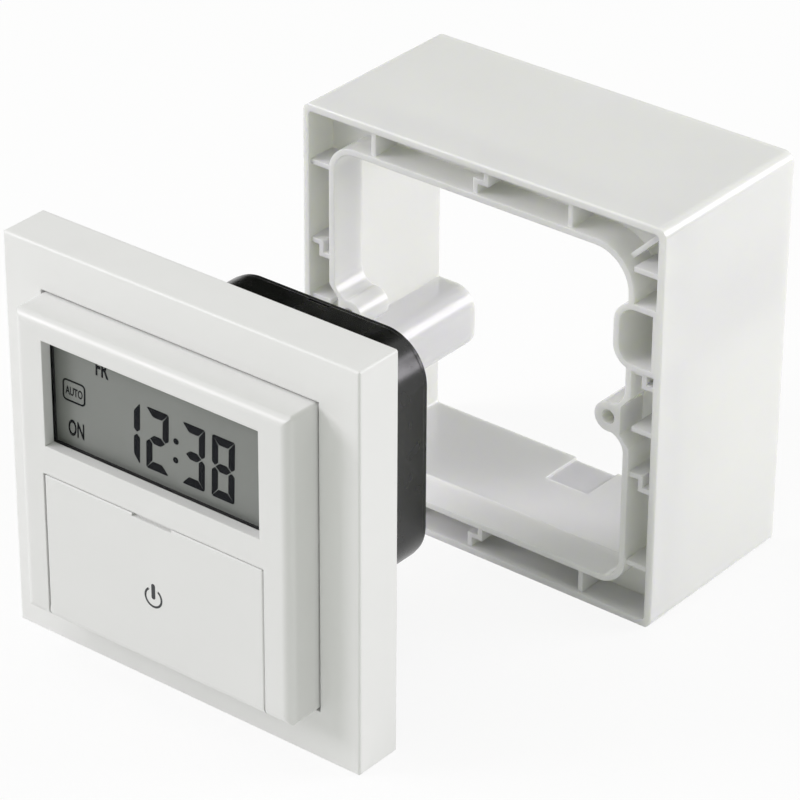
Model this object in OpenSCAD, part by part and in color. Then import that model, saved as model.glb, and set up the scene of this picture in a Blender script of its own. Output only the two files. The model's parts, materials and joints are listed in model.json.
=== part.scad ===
// In-wall digital timer switch with the surface housing that stands behind it.
// X runs to the right seen from the front, Y runs back into the wall, Z runs up.
// The wall plane is y = 0 and the axis of the wall box is x = 0, z = 0.

/* [Cover frame] */
// Width and height of the square cover frame
frame_w = 80; // [79:0.5:86]
// Depth of the cover frame, from the wall to its front face
frame_t = 10; // [10:0.5:12]
// Wall thickness of the cover frame
frame_wall = 2; // [1.6:0.2:2.4]
// Radius of the front edges of the cover frame
frame_edge = 0.5; // [0.3:0.1:1]
// Thickness of the lip round the opening of the cover frame
frame_lip = 1.6; // [1.2:0.2:2]

/* [Bezel] */
// Width of the raised bezel
bezel_w = 62; // [61.5:0.5:64]
// Height of the raised bezel
bezel_h = 61; // [60.5:0.5:63]
// How far the bezel stands out of the cover frame
bezel_out = 7.6; // [7.4:0.2:9]
// How far the middle of the bezel lies above the axis
bezel_up = 0.5; // [0:0.1:0.6]
// Radius of the soft front edges of the bezel
bezel_edge = 1.8; // [0.8:0.1:1.8]
// Side wall thickness of the bezel
bezel_wall = 1.8; // [1.4:0.1:1.9]
// Front wall thickness of the bezel, which is the depth of the display recess
recess_t = 2.2; // [1.8:0.1:2.4]
// Gap between the bezel and the cover frame
bezel_gap = 0.3; // [0.2:0.05:0.4]

/* [Display] */
// Width of the display opening
window_w = 49; // [44:1:50]
// Height of the display opening
window_h = 21; // [18:0.5:21.5]
// Height of the middle of the display above the axis
window_up = 16.2; // [16:0.1:16.4]
// How far the display glass reaches past the opening on the left and the right
glass_side = 2; // [1.5:0.1:2.3]
// How far the display glass reaches past the opening above and below
glass_edge = 1.2; // [0.8:0.1:1.3]
// Thickness of each of the two display glasses
glass_t = 1.1; // [0.7:0.1:1.2]
// Thickness of the clear pane in front of the display
pane_t = 0.8; // [0.6:0.1:1]
// Thickness of the black gasket round the display
gasket_t = 0.5; // [0.3:0.1:0.6]

/* [Flap] */
// Width of the lower flap
flap_w = 50; // [46:1:52]
// Height of the lower flap
flap_h = 29.7; // [28.5:0.1:30]
// Thickness of the flap, which is also the radius of its hinge barrel
flap_t = 1.8; // [1.6:0.1:1.9]
// Gap round the flap
flap_gap = 0.3; // [0.25:0.05:0.4]
// Diameter of the flap's hinge stubs
hinge_d = 1.6; // [1.4:0.1:2]
// Length of each hinge stub past the end of the flap
hinge_stub = 1.5; // [1:0.1:1.7]
// Width of the fingernail slit in the top edge of the flap
slit_w = 9; // [6:1:12]

/* [Keys] */
// Width of a small key
key_w = 8.6; // [7:0.2:9]
// Height of a small key
key_h = 4.4; // [3.6:0.2:5]
// Width of the manual key in the middle
manual_w = 15; // [12:1:18]
// Sideways distance from key to key
key_pitch = 12.6; // [12:0.2:12.8]
// Distance from one row of keys to the next
row_pitch = 8.2; // [7.8:0.2:8.4]
// Height of the top row of keys below the axis
row_drop = 7.4; // [7:0.1:7.6]
// How far the keys stand out of the key panel
key_out = 0.8; // [0.5:0.1:1]
// Travel of every key
key_travel = 0.5; // [0.3:0.05:0.5]
// Diameter of the reset button
reset_d = 2.6; // [2:0.2:3.2]
// Thickness of the key panel
panel_t = 1.2; // [1:0.1:1.4]

/* [In-wall base] */
// Width and height of the black rear body
body_w = 47; // [45.5:0.5:47]
// Depth of the black rear body behind the wall plane, with its cover
body_deep = 26; // [25:0.5:32]
// Corner radius of the black rear body
body_r = 9; // [8.5:0.5:10]
// Wall thickness of the black rear body
body_wall = 1.6; // [1.4:0.1:1.8]
// Thickness of the part of the rear cover that shows
cover_t = 0.75; // [0.6:0.05:1.2]
// Thickness of the steel mounting plate
plate_t = 1.2; // [1:0.1:1.4]
// Gap between the edge of the mounting plate and the wall of the cover frame
plate_room = 2.5; // [1.6:0.1:3]
// Distance between the fixing screws of a wall box
screw_span = 60; // [59:0.5:61]
// Width of a fixing slot
slot_w = 3.6; // [3.2:0.2:4]
// Length of a fixing slot
slot_len = 6.6; // [5:0.2:7]
// Number of terminals
poles = 4; // [3:1:4]
// Distance from terminal to terminal
pole_pitch = 8; // [7.6:0.2:8.4]
// Diameter of a wire entry
wire_d = 3.6; // [3:0.2:3.8]
// Diameter of a screw access hole
access_d = 4.2; // [4:0.1:4.4]

/* [Circuit boards] */
// Thickness of both circuit boards
board_t = 1.6; // [1.2:0.2:1.6]
// Thickness of the backup cell
cell_t = 3; // [2:0.1:3]
// Diameter of the backup cell
cell_d = 16; // [12:1:20]
// Number of pins that join the two boards
pin_count = 7; // [5:1:7]

/* [Surface housing] */
// Width and height of the surface housing
box_w = 82; // [81:0.5:86]
// Depth of the surface housing
box_deep = 39.5; // [36:0.5:46]
// Outer wall thickness of the surface housing
box_wall = 1.5; // [1.3:0.1:1.8]
// Corner radius of the surface housing
box_r = 2; // [1:0.5:3]
// Width and height of the opening through the surface housing
hole_w = 67; // [65:0.5:67]
// Depth of the cells in the front of the surface housing
cell_deep = 7; // [5:0.5:9]
// Thickness of the inner wall and of the floor of the cells
rib_wall = 1.2; // [1:0.1:1.4]
// Thickness of the webs between the cells
web_t = 1; // [0.8:0.1:1.2]
// How far the screw pockets reach in towards the axis, counted from it
pocket_x = 30.5; // [30:0.5:32]
// Height of a screw pocket
pocket_h = 13.4; // [12:0.2:13.6]
// Height of the middle of the right screw pocket above the axis
pocket_up = 17.8; // [17.4:0.2:18.2]
// Outer diameter of the device screw bosses
boss_d = 6.4; // [5.6:0.2:7]
// Pre-cored hole in the device screw bosses
boss_hole = 2.4; // [2:0.1:2.8]
// Hole for a wall screw at the back of each screw pocket
wall_screw_d = 4.4; // [4:0.2:5]
// Place of the surface housing: right of the axis
box_x = 10.8; // [8:0.2:14]
// Place of the surface housing: its front edge behind the wall plane
box_y = 59.4; // [50:0.2:70]

/* [Hidden] */
$fn = 64;
// Small overlap that lets a cut run past a face
eps = 0.1;
// Clearance between pieces that slide into each other
fit = 0.2;

// Levels along Y in the front module
front_y = -(frame_t + bezel_out);
pane_y = front_y + recess_t;
gasket_y = pane_y + pane_t;
glass_y = gasket_y + gasket_t;
rear_glass_y = glass_y + glass_t;
film_y = rear_glass_y + glass_t;
film_t = 0.3;
barrel_room = 0.4;
panel_y = front_y + 2 * flap_t + barrel_room;
key_flange_y = panel_y + panel_t + eps;
key_flange_t = 1.1;
plunger_y = key_flange_y + key_flange_t;
switch_room = key_travel + 0.2;
switch_y = plunger_y + switch_room;
switch_t = 1.5;
board_y = switch_y + switch_t;
board_back = board_y + board_t;

// Outlines of the front module
bezel_corner = 0.8;
inner_w = bezel_w - 2 * bezel_wall;
inner_h = bezel_h - 2 * bezel_wall;
module_gap = 0.3;
module_wall = 1.3;
module_w = inner_w - 2 * module_gap;
module_h = inner_h - 2 * module_gap;
board_w = module_w - 2 * module_wall - 2 * fit;
board_h = module_h - 2 * module_wall - 2 * fit;
bezel_bottom = bezel_up - bezel_h / 2;
bezel_top = bezel_up + bezel_h / 2;
module_bottom = bezel_up - module_h / 2;
module_top = bezel_up + module_h / 2;

// Flap and its hinge
flap_top = bezel_bottom + flap_h;
hinge_y = front_y + flap_t;
hinge_z = bezel_bottom + flap_t;
hinge_fit = 0.15;
flap_room = flap_w / 2 + flap_gap;
pocket_wall = 1.8;
panel_top = flap_top + 2.5;
flap_edge = 0.3;
slit_h = 0.5;
slit_deep = 0.7;

// Display
glass_w = window_w + 2 * glass_side;
glass_h = window_h + 2 * glass_edge;
pane_w = glass_w + 1.6;
pane_h = glass_h + 0.8;
gasket_in = 0.5;
glass_bottom = window_up - glass_h / 2;
ledge_h = 3;
strip_h = 2;
strip_gap = 0.4;
holder_bottom = glass_bottom - 1.2;

// Keys
reset_row = 2;
key_fit = 0.25;
key_flange = 0.8;
key_r = 0.9;
switch_w = 4.5;
plunger_d = 2.4;
plunger_in = 1;
post_d = 4.4;
post_x = board_w / 2 - 2.8;
post_z = [bezel_bottom + 6.4, panel_top - 1.4];

// Base behind the module
flange_t = 1.8;
flange_y = -plate_t - flange_t;
flange_w = body_w + 5;
flange_r = 4;
sheet_t = 0.3;
cover_gap = 0.15;
cover_y = body_deep - cover_t;
body_end = cover_y - cover_gap;
plate_w = frame_w - 2 * (frame_wall + plate_room);
cavity_w = body_w - 2 * body_wall;
cavity_r = body_r - body_wall;
base_screw = flange_w / 2 - 2.4;
base_screw_d = 2;
base_head_d = 3.6;
base_head_t = 1.2;
power_y = 2.6;
power_back = power_y + board_t;
rib_in = 1.05;
power_w = cavity_w - 2 * rib_in - 2 * fit;
plug_y = cover_y - 1.8;
plug_wall = 1.2;
leg_z = 6.8;
leg_w = 3.2;
leg_t = 1.2;
leg_x = module_w / 2 - leg_t - 0.8;
head_room_w = 9;
head_room_y = 3;

// Terminals
block_y = power_back;
block_end = body_deep;
wire_z = -cavity_w / 2 + 4.7;
access_z = wire_z + 4.8;
block_bottom = -power_w / 2 + 0.1;
block_h = 10.8;
pole_w = pole_pitch - fit;
cage_w = 5.6;
cage_h = 9.2;
cage_t = 6;
cage_y = block_end - 11;
thread_d = 2.6;
wire_deep = 12;

// Parts on the power board, each placed from its edges
board_edge = power_w / 2;
block_top = block_bottom + block_h;
relay_w = 19;
relay_h = 15.3;
relay_deep = 15.6;
relay_step = 0.4;
relay_x = 1.65 - board_edge + relay_w / 2;
capacitor_w = 13;
capacitor_h = 6;
capacitor_deep = 12;
capacitor_x = 3.5 - board_edge + capacitor_w / 2;
capacitor_z = board_edge - 2.25 - capacitor_h / 2;
relay_z = (block_top + capacitor_z - capacitor_h / 2) / 2;
can_d = 8;
can_h = 11.5;
can_x = board_edge - 7.4;
varistor_d = 8.6;
varistor_t = 3.6;
varistor_x = board_edge - 15.8;
fuse_d = 3.4;
fuse_len = 8.6;
fuse_x = board_edge - 7.8;
diode_d = 2.4;
diode_len = 4.6;
diode_pitch = 3;
diode_count = 4;
diode_x = board_edge - 7.9;
diode_z = block_top + 4.6;
can_z = (diode_z + diode_len / 2 + capacitor_z - fuse_d / 2) / 2;

// Pins between the boards
pin_pitch = 2.54;
pin_w = 0.64;
pin_hole = 0.9;
pin_bar_h = 2.5;
header_t = 2.5;
header_z = -14;
header_w = pin_count * pin_pitch;
socket_t = 3.4;

// Surface housing
box_z = (box_w - frame_w) / 2;
lip_deep = cell_deep + rib_wall;
hole_r_small = 4.5;
hole_r_large = 7.5;
cell_w = box_w - 2 * box_wall;
cell_r = 0.8;
box_edge = 0.4;
// Places of the webs, counted from the axis
web_ends = [hole_w / 2 - 2.5, pocket_up + pocket_h / 2 + 1.6, -1, 4.5 - hole_w / 2];
web_splits = [9.6, -11.6];
web_tops = [hole_w / 2 - 8.9, 13.5 - hole_w / 2];
boss_drop = 2.4;
boss_len = 10;
boss_root = 7.5;
web_drop = 0.6;
pocket_floor = 1.5;
pocket_r = 4.5;
knock_w = 10;
knock_t = 0.7;

white = [0.93, 0.93, 0.92];
black = [0.06, 0.06, 0.065];
steel = [0.68, 0.69, 0.70];
brass = [0.80, 0.63, 0.30];
board_green = [0.10, 0.36, 0.20];

// A flat outline drawn in X and Z, given thickness t back from y
module along_y(y, t) {
  translate([0, y + t, 0])
    rotate([90, 0, 0])
      linear_extrude(t)
        children();
}

// A rod along Y that starts at y
module rod_y(y, t, d) {
  translate([0, y, 0])
    rotate([-90, 0, 0])
      cylinder(h = t, d = d);
}

// A rod along X, centred
module rod_x(length, d) {
  rotate([0, 90, 0])
    cylinder(h = length, d = d, center = true);
}

// A rectangle with round corners
module rounded(w, h, r) {
  square([w - 2 * r, h], center = true);
  square([w, h - 2 * r], center = true);
  for (x = [-1, 1], z = [-1, 1])
    translate([x * (w / 2 - r), z * (h / 2 - r)])
      circle(r);
}

// A box from one corner to the other
module box(low, high) {
  translate(low)
    cube(high - low);
}

module at(x, z) {
  translate([x, 0, z])
    children();
}

// The same thing on the left and the right
module both_sides() {
  children();
  mirror([1, 0, 0])
    children();
}

// The same thing again, turned half way round the axis
module half_turn() {
  children();
  rotate([0, 180, 0])
    children();
}

// Room for the heads of the wall box screws, on all four sides
module screw_head_room(y_end) {
  for (turn = [0, 90, 180, 270])
    rotate([0, turn, 0])
      box([screw_span / 2 - 3.2, -plate_t - head_room_y, -head_room_w / 2],
          [screw_span / 2 + 4, y_end, head_room_w / 2]);
}

// Section from front to back of something with soft front edges
module soft_section(w, deep, r) {
  translate([-w / 2, r])
    square([w, deep - r]);
  translate([r - w / 2, 0])
    square([w - 2 * r, r + eps]);
  for (side = [-1, 1])
    translate([side * (w / 2 - r), r])
      circle(r);
}

// A block from y_from to y_to with soft front edges of radius r and corners of radius corner
module soft_block(w, h, y_from, y_to, r, corner) {
  deep = y_to - y_from;
  intersection() {
    along_y(y_from, deep)
      rounded(w, h, corner);
    translate([0, y_from, -h / 2 - 1])
      linear_extrude(h + 2)
        soft_section(w, deep, r);
    translate([w / 2 + 1, y_from, 0])
      rotate([0, -90, 0])
        linear_extrude(w + 2)
          soft_section(h, deep, r);
  }
}

module cover_frame() {
  opening_w = bezel_w + 2 * bezel_gap;
  opening_h = bezel_h + 2 * bezel_gap;
  stop_y = -plate_t;
  color(white)
  difference() {
    union() {
      difference() {
        soft_block(frame_w, frame_w, -frame_t, 0, frame_edge, frame_edge);
        along_y(frame_wall - frame_t, frame_t)
          square(frame_w - 2 * frame_wall, center = true);
      }
      along_y(eps - frame_t, stop_y + frame_t - eps)
        translate([0, bezel_up])
          square([opening_w + 2 * frame_lip, opening_h + 2 * frame_lip], center = true);
      frame_ribs();
    }
    along_y(-frame_t - eps, frame_t + 2 * eps)
      translate([0, bezel_up])
        square([opening_w, opening_h], center = true);
    screw_head_room(stop_y + eps);
    // Notch under the bottom edge for lifting the frame off
    box([-4, -0.8, -frame_w / 2 - eps], [4, eps, frame_wall - frame_w / 2 + eps]);
  }
}

// Ribs that tie the lip of the cover frame to its outer wall
module frame_ribs() {
  rib_from = bezel_w / 2 + bezel_gap + frame_lip / 2;
  for (turn = [0, 90, 180, 270], z = [-22, -11, 11, 22])
    rotate([0, turn, 0])
      box([rib_from, 1 - frame_t, z - 0.6], [frame_w / 2 - 1, -frame_t / 2 + 1, z + 0.6]);
}

module bezel() {
  opening_top = flap_top + flap_gap;
  color(white)
  difference() {
    union() {
      difference() {
        at(0, bezel_up)
          soft_block(bezel_w, bezel_h, front_y, -plate_t, bezel_edge, bezel_corner);
        along_y(pane_y, -front_y)
          translate([0, bezel_up])
            square([inner_w, inner_h], center = true);
      }
      // Side cheeks and top wall of the flap's pocket
      both_sides()
        box([flap_room, front_y + flap_t, bezel_bottom + bezel_wall / 2],
            [flap_room + pocket_wall, panel_y, opening_top]);
      box([-flap_room - pocket_wall, front_y + flap_t / 2, opening_top],
          [flap_room + pocket_wall, panel_y, opening_top + pocket_wall / 2]);
    }
    // Display opening
    along_y(front_y - eps, recess_t + 1)
      translate([0, window_up])
        square([window_w, window_h], center = true);
    // Room for the flap, out through the front and the bottom edge
    box([-flap_room, front_y - eps, bezel_bottom - eps], [flap_room, panel_y, opening_top]);
    // Blind bearings of the flap
    translate([0, hinge_y, hinge_z])
      rod_x(2 * (flap_w / 2 + hinge_stub + hinge_fit), hinge_d + 2 * hinge_fit);
    screw_head_room(-plate_t + eps);
  }
}

module flap() {
  power_z = -row_drop - row_pitch;
  color(white)
  difference() {
    union() {
      intersection() {
        at(0, flap_top - flap_h)
          soft_block(flap_w, 2 * flap_h, front_y, hinge_y, flap_edge, flap_edge);
        box([-flap_w, front_y, hinge_z], [flap_w, hinge_y, flap_top]);
      }
      translate([0, hinge_y, hinge_z])
        rod_x(flap_w, 2 * flap_t);
      translate([0, hinge_y, hinge_z])
        rod_x(flap_w + 2 * hinge_stub, hinge_d);
      // Pad behind the middle that reaches the manual key when the flap is pushed
      at(0, power_z)
        rod_y(hinge_y - eps, eps + 0.4, 6);
      // Stiffening ribs on the inner face
      for (x = [-14, 14])
        box([x - 0.5, hinge_y - eps, hinge_z + flap_t + 1], [x + 0.5, hinge_y + 0.4, flap_top - 1]);
    }
    // Fingernail slit
    box([-slit_w / 2, front_y - eps, flap_top - slit_h],
        [slit_w / 2, front_y + slit_deep, flap_top + eps]);
  }
}

module display_pane() {
  color([0.80, 0.85, 0.86, 0.35])
    along_y(pane_y, pane_t)
      translate([0, window_up])
        rounded(pane_w, pane_h, 0.5);
}

module display_gasket() {
  color(black)
    along_y(gasket_y, gasket_t)
      translate([0, window_up])
        difference() {
          rounded(pane_w, pane_h, 0.5);
          square([window_w - 2 * gasket_in, window_h - 2 * gasket_in], center = true);
        }
}

module display_front_glass() {
  color([0.50, 0.52, 0.50])
    along_y(glass_y, glass_t)
      translate([0, window_up])
        square([glass_w, glass_h], center = true);
}

// The rear glass stops short of the contact ledge at the bottom
module above_ledge() {
  translate([-glass_w / 2, glass_bottom + ledge_h])
    square([glass_w, glass_h - ledge_h]);
}

module display_rear_glass() {
  color([0.46, 0.48, 0.46])
    along_y(rear_glass_y, glass_t)
      above_ledge();
}

module display_reflector() {
  color([0.70, 0.71, 0.69])
    along_y(film_y, film_t)
      above_ledge();
}

module display_holder() {
  color(black)
  difference() {
    box([-module_w / 2, glass_y, holder_bottom], [module_w / 2, board_y, module_top]);
    // Seat of the front glass
    along_y(glass_y - eps, glass_t + eps)
      translate([0, window_up])
        square([glass_w + fit, glass_h + fit], center = true);
    // Seat of the rear glass and the film, with a shoulder behind them
    box([-glass_w / 2 - fit / 2, rear_glass_y - eps, glass_bottom + ledge_h - fit / 2],
        [glass_w / 2 + fit / 2, film_y + film_t, window_up + glass_h / 2 + fit / 2]);
    box([3 - glass_w / 2, film_y, glass_bottom + ledge_h + 2],
        [glass_w / 2 - 3, board_y + eps, window_up + glass_h / 2 - 2]);
    // Slot of the contact strip
    box([-window_w / 2 - fit, rear_glass_y - eps, glass_bottom + strip_gap - fit / 2],
        [window_w / 2 + fit, board_y + eps, glass_bottom + strip_gap + strip_h + fit / 2]);
  }
}

module contact_strip() {
  color([0.75, 0.45, 0.50])
    box([-window_w / 2, rear_glass_y, glass_bottom + strip_gap],
        [window_w / 2, board_y, glass_bottom + strip_gap + strip_h]);
}

// Place of a key in the grid: column 0 to 3, row 0 to 2
function column_x(column) = (column - 1.5) * key_pitch;
function row_z(row) = -row_drop - row * row_pitch;

// Every place where a key switch sits, as column and row
KEY_PLACES = [[0, 0], [1, 0], [2, 0], [3, 0], [0, 1], [3, 1], [1.5, 1], [1.5, reset_row]];

module at_place(place) {
  at(column_x(place[0]), row_z(place[1]))
    children();
}

function key_width(place) = place[0] == 1.5 ? manual_w : key_w;

module key_outline(place, grow) {
  if (place[1] == reset_row)
    circle(d = reset_d + 2 * grow);
  else
    rounded(key_width(place) + 2 * grow, key_h + 2 * grow, key_r);
}

// One key: the cap that shows and the flange that keeps it behind the panel
module timer_key(place, paint) {
  color(paint)
  at_place(place) {
    along_y(panel_y - key_out, key_flange_y - panel_y + key_out + eps)
      key_outline(place, 0);
    along_y(key_flange_y, key_flange_t)
      key_outline(place, key_flange);
  }
}

module key_clock() { timer_key(KEY_PLACES[0], [0.86, 0.86, 0.86]); }
module key_day() { timer_key(KEY_PLACES[1], [0.86, 0.86, 0.86]); }
module key_hour() { timer_key(KEY_PLACES[2], [0.86, 0.86, 0.86]); }
module key_minute() { timer_key(KEY_PLACES[3], [0.86, 0.86, 0.86]); }
module key_program() { timer_key(KEY_PLACES[4], [0.86, 0.86, 0.86]); }
module key_random() { timer_key(KEY_PLACES[5], [0.86, 0.86, 0.86]); }
module key_manual() { timer_key(KEY_PLACES[6], [0.75, 0.76, 0.77]); }
module button_reset() { timer_key(KEY_PLACES[7], [0.30, 0.30, 0.31]); }

// The plunger of one key switch, which the key pushes
module switch_plunger(place) {
  color([0.15, 0.15, 0.16])
    at_place(place)
      rod_y(plunger_y, switch_room + plunger_in - fit, plunger_d);
}

module plunger_clock() { switch_plunger(KEY_PLACES[0]); }
module plunger_day() { switch_plunger(KEY_PLACES[1]); }
module plunger_hour() { switch_plunger(KEY_PLACES[2]); }
module plunger_minute() { switch_plunger(KEY_PLACES[3]); }
module plunger_program() { switch_plunger(KEY_PLACES[4]); }
module plunger_random() { switch_plunger(KEY_PLACES[5]); }
module plunger_manual() { switch_plunger(KEY_PLACES[6]); }
module plunger_reset() { switch_plunger(KEY_PLACES[7]); }

module key_switches() {
  color(steel)
  for (place = KEY_PLACES)
    at_place(place)
      difference() {
        along_y(switch_y, switch_t)
          rounded(switch_w, switch_w, 0.4);
        rod_y(switch_y - eps, switch_t, plunger_d + 2 * fit);
      }
}

// Carrier of the display, the keys and the display board
module front_module() {
  back_y = -plate_t;
  color([0.88, 0.88, 0.87])
  difference() {
    union() {
      difference() {
        box([-module_w / 2, panel_y, module_bottom], [module_w / 2, back_y, module_top]);
        // Room for the board, open to the back
        box([module_wall - module_w / 2, panel_y + panel_t, module_bottom + module_wall],
            [module_w / 2 - module_wall, back_y + eps, module_top - module_wall]);
        // Room for the flange of the base and the heads of its screws
        along_y(flange_y - base_head_t - fit, base_head_t + flange_t + fit + eps)
          rounded(flange_w + 2 * fit, flange_w + 2 * fit, flange_r);
        // Room for the display holder above the key panel
        box([-module_w / 2 - eps, panel_y - eps, panel_top],
            [module_w / 2 + eps, board_y, module_top + eps]);
      }
      board_posts();
      latch_legs();
    }
    for (place = KEY_PLACES)
      at_place(place)
        along_y(panel_y - eps, panel_t + 2 * eps)
          key_outline(place, key_fit);
    for (x = [-post_x, post_x], z = post_z)
      at(x, z)
        rod_y(board_y - 2.4, 2.4 + eps, 1.6);
    screw_head_room(back_y + eps);
  }
}

module board_posts() {
  for (x = [-post_x, post_x], z = post_z)
    at(x, z)
      rod_y(panel_y + panel_t / 2, board_y - panel_y - panel_t / 2, post_d);
}

// Legs that click through the mounting plate
module latch_legs() {
  hook = 0.8;
  for (z = [-leg_z, leg_z])
    both_sides() {
      box([leg_x, board_back + 1, z - leg_w / 2], [leg_x + leg_t, 1.2, z + leg_w / 2]);
      box([leg_x, 0.1, z - leg_w / 2], [leg_x + leg_t + hook, 1.2, z + leg_w / 2]);
    }
}

module display_board() {
  color(board_green)
    along_y(board_y, board_t)
      difference() {
        translate([0, bezel_up])
          square([board_w, board_h], center = true);
        for (x = [-post_x, post_x], z = post_z)
          translate([x, z])
            circle(d = 2);
        // Slots beside the legs of the front module
        for (x = [-1, 1], z = [-1, 1])
          translate([x * board_w / 2, z * leg_z])
            square([1.4, leg_w + 1], center = true);
      }
}

module board_screws() {
  head_t = 1;
  color(steel)
  for (x = [-post_x, post_x], z = post_z)
    at(x, z)
      difference() {
        union() {
          rod_y(board_y - 2.2, board_t + 2.3, 1.5);
          rod_y(board_back, head_t, 3.2);
        }
        box([-0.8, board_back + head_t / 2, -0.2], [0.8, board_back + head_t + eps, 0.2]);
        box([-0.2, board_back + head_t / 2, -0.8], [0.2, board_back + head_t + eps, 0.8]);
      }
}

module controller_chip() {
  chip_w = 10;
  leads = 11;
  lead_pitch = 0.8;
  color([0.10, 0.10, 0.11])
  at(-12, 13) {
    box([-chip_w / 2, board_back + 0.1, -chip_w / 2], [chip_w / 2, board_back + 1.5, chip_w / 2]);
    for (turn = [0, 90, 180, 270], i = [0 : leads - 1])
      rotate([0, turn, 0])
        box([chip_w / 2 - 0.2, board_back, (i - (leads - 1) / 2) * lead_pitch - 0.15],
            [chip_w / 2 + 1, board_back + 0.3, (i - (leads - 1) / 2) * lead_pitch + 0.15]);
  }
}

module clock_crystal() {
  crystal_d = 2;
  color(steel)
    translate([-12, board_back + crystal_d / 2, 22.5])
      rod_x(6, crystal_d);
}

cell_place = [11, 9];

module backup_cell() {
  color([0.74, 0.75, 0.76])
    at(cell_place[0], cell_place[1])
      rod_y(board_back, cell_t, cell_d);
}

// Sheet metal strap that holds the cell down on the board
module cell_strap() {
  strap_t = 0.25;
  strap_w = 4;
  reach = cell_d / 2 + 0.3;
  color(steel)
    at(cell_place[0], cell_place[1]) {
      box([-reach - strap_t, board_back + cell_t, -strap_w / 2],
          [reach + strap_t, board_back + cell_t + strap_t, strap_w / 2]);
      both_sides()
        box([reach, board_back, -strap_w / 2],
            [reach + strap_t, board_back + cell_t + strap_t, strap_w / 2]);
    }
}

// Squares along the row of pins
module pin_row(size) {
  for (i = [0 : pin_count - 1])
    translate([(i - (pin_count - 1) / 2) * pin_pitch, header_z])
      square(size, center = true);
}

module pin_bar() {
  difference() {
    translate([0, header_z])
      square([header_w, pin_bar_h], center = true);
    pin_row(pin_hole);
  }
}

module pin_socket() {
  color(black)
    along_y(board_back, socket_t)
      pin_bar();
}

module contact_pins() {
  color(brass)
    along_y(board_back + 1, power_back - board_back - 1)
      pin_row(pin_w);
}

module pin_header() {
  color(black)
    along_y(power_y - header_t, header_t)
      pin_bar();
}

// Window for the pins through the front wall of the base
module pin_window() {
  translate([0, header_z])
    square([header_w + 2, pin_bar_h + 1.9], center = true);
}

module at_base_screws() {
  for (x = [-base_screw, base_screw], z = [-base_screw, base_screw])
    at(x, z)
      children();
}

// Room for the legs of the front module, from the outside in to their inner face
module leg_notches(y, t) {
  for (z = [-leg_z, leg_z])
    both_sides()
      box([leg_x - fit, y, z - leg_w / 2 - fit], [plate_w / 2, y + t, z + leg_w / 2 + fit]);
}

module insulating_sheet() {
  color([0.92, 0.86, 0.60])
  difference() {
    along_y(flange_y - sheet_t, sheet_t)
      difference() {
        rounded(flange_w - 1, flange_w - 1, flange_r - 0.5);
        pin_window();
      }
    leg_notches(flange_y - sheet_t - eps, sheet_t + 2 * eps);
    at_base_screws()
      rod_y(flange_y - 1, 2, base_head_d + 1);
  }
}

module mounting_plate() {
  color(steel)
  difference() {
    along_y(-plate_t, plate_t)
      difference() {
        rounded(plate_w, plate_w, 3);
        rounded(body_w + 1, body_w + 1, body_r + 0.5);
      }
    for (turn = [0, 90, 180, 270])
      rotate([0, turn, 0])
        at(screw_span / 2, 0)
          along_y(-plate_t - eps, plate_t + 2 * eps)
            fixing_slot();
    for (z = [-leg_z, leg_z])
      both_sides()
        box([leg_x - fit, -plate_t - eps, z - leg_w / 2 - fit],
            [leg_x + leg_t + 1, eps, z + leg_w / 2 + fit]);
    at_base_screws()
      rod_y(-plate_t - eps, plate_t + 2 * eps, base_screw_d + 0.1);
    // Round holes in the corners for fixing straight to a panel
    for (x = [-1, 1], z = [-1, 1])
      at(x * (plate_w / 2 - 4), z * (plate_w / 2 - 4))
        rod_y(-plate_t - eps, plate_t + 2 * eps, 3.2);
  }
}

module fixing_slot() {
  square([slot_len - slot_w, slot_w], center = true);
  for (end = [-1, 1])
    translate([end * (slot_len - slot_w) / 2, 0])
      circle(d = slot_w);
}

module base_screws() {
  color(steel)
  at_base_screws()
    difference() {
      union() {
        rod_y(flange_y - eps, -flange_y + eps, base_screw_d);
        rod_y(flange_y - base_head_t, base_head_t, base_head_d);
      }
      box([-1.2, flange_y - base_head_t - eps, -0.25], [1.2, flange_y - base_head_t / 2, 0.25]);
      box([-0.25, flange_y - base_head_t - eps, -1.2], [0.25, flange_y - base_head_t / 2, 1.2]);
    }
}

board_post_x = 15.5;
pry_w = 5;
pry_h = 0.65;
pry_deep = 1.3;

module rear_housing() {
  color(black)
  difference() {
    union() {
      along_y(flange_y, flange_t)
        rounded(flange_w, flange_w, flange_r);
      along_y(flange_y, body_end - flange_y)
        difference() {
          rounded(body_w, body_w, body_r);
          rounded(cavity_w, cavity_w, cavity_r);
        }
      // Ribs that stop the power board and the rear cover
      for (side = [-1, 1], z = [-7, 7])
        box([min(side * cavity_w, side * (cavity_w - 2 * rib_in)) / 2, flange_y + eps, z - 0.6],
            [max(side * cavity_w, side * (cavity_w - 2 * rib_in)) / 2, plug_y, z + 0.6]);
      for (x = [-board_post_x, board_post_x], z = [-board_post_x, board_post_x])
        at(x, z)
          rod_y(flange_y + flange_t / 2, power_y - flange_y - flange_t / 2, 4);
    }
    along_y(flange_y - eps, flange_t + 2 * eps)
      pin_window();
    leg_notches(flange_y - eps, flange_t + 2 * eps);
    at_base_screws()
      rod_y(flange_y - eps, flange_t + 2 * eps, base_screw_d + 2 * fit);
    // Notches at the top and the bottom for opening the rear cover
    for (side = [-1, 1])
      at(0, side * body_w / 2)
        box([-pry_w / 2, body_end - pry_h, -pry_deep], [pry_w / 2, body_end + eps, pry_deep]);
  }
}

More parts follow.
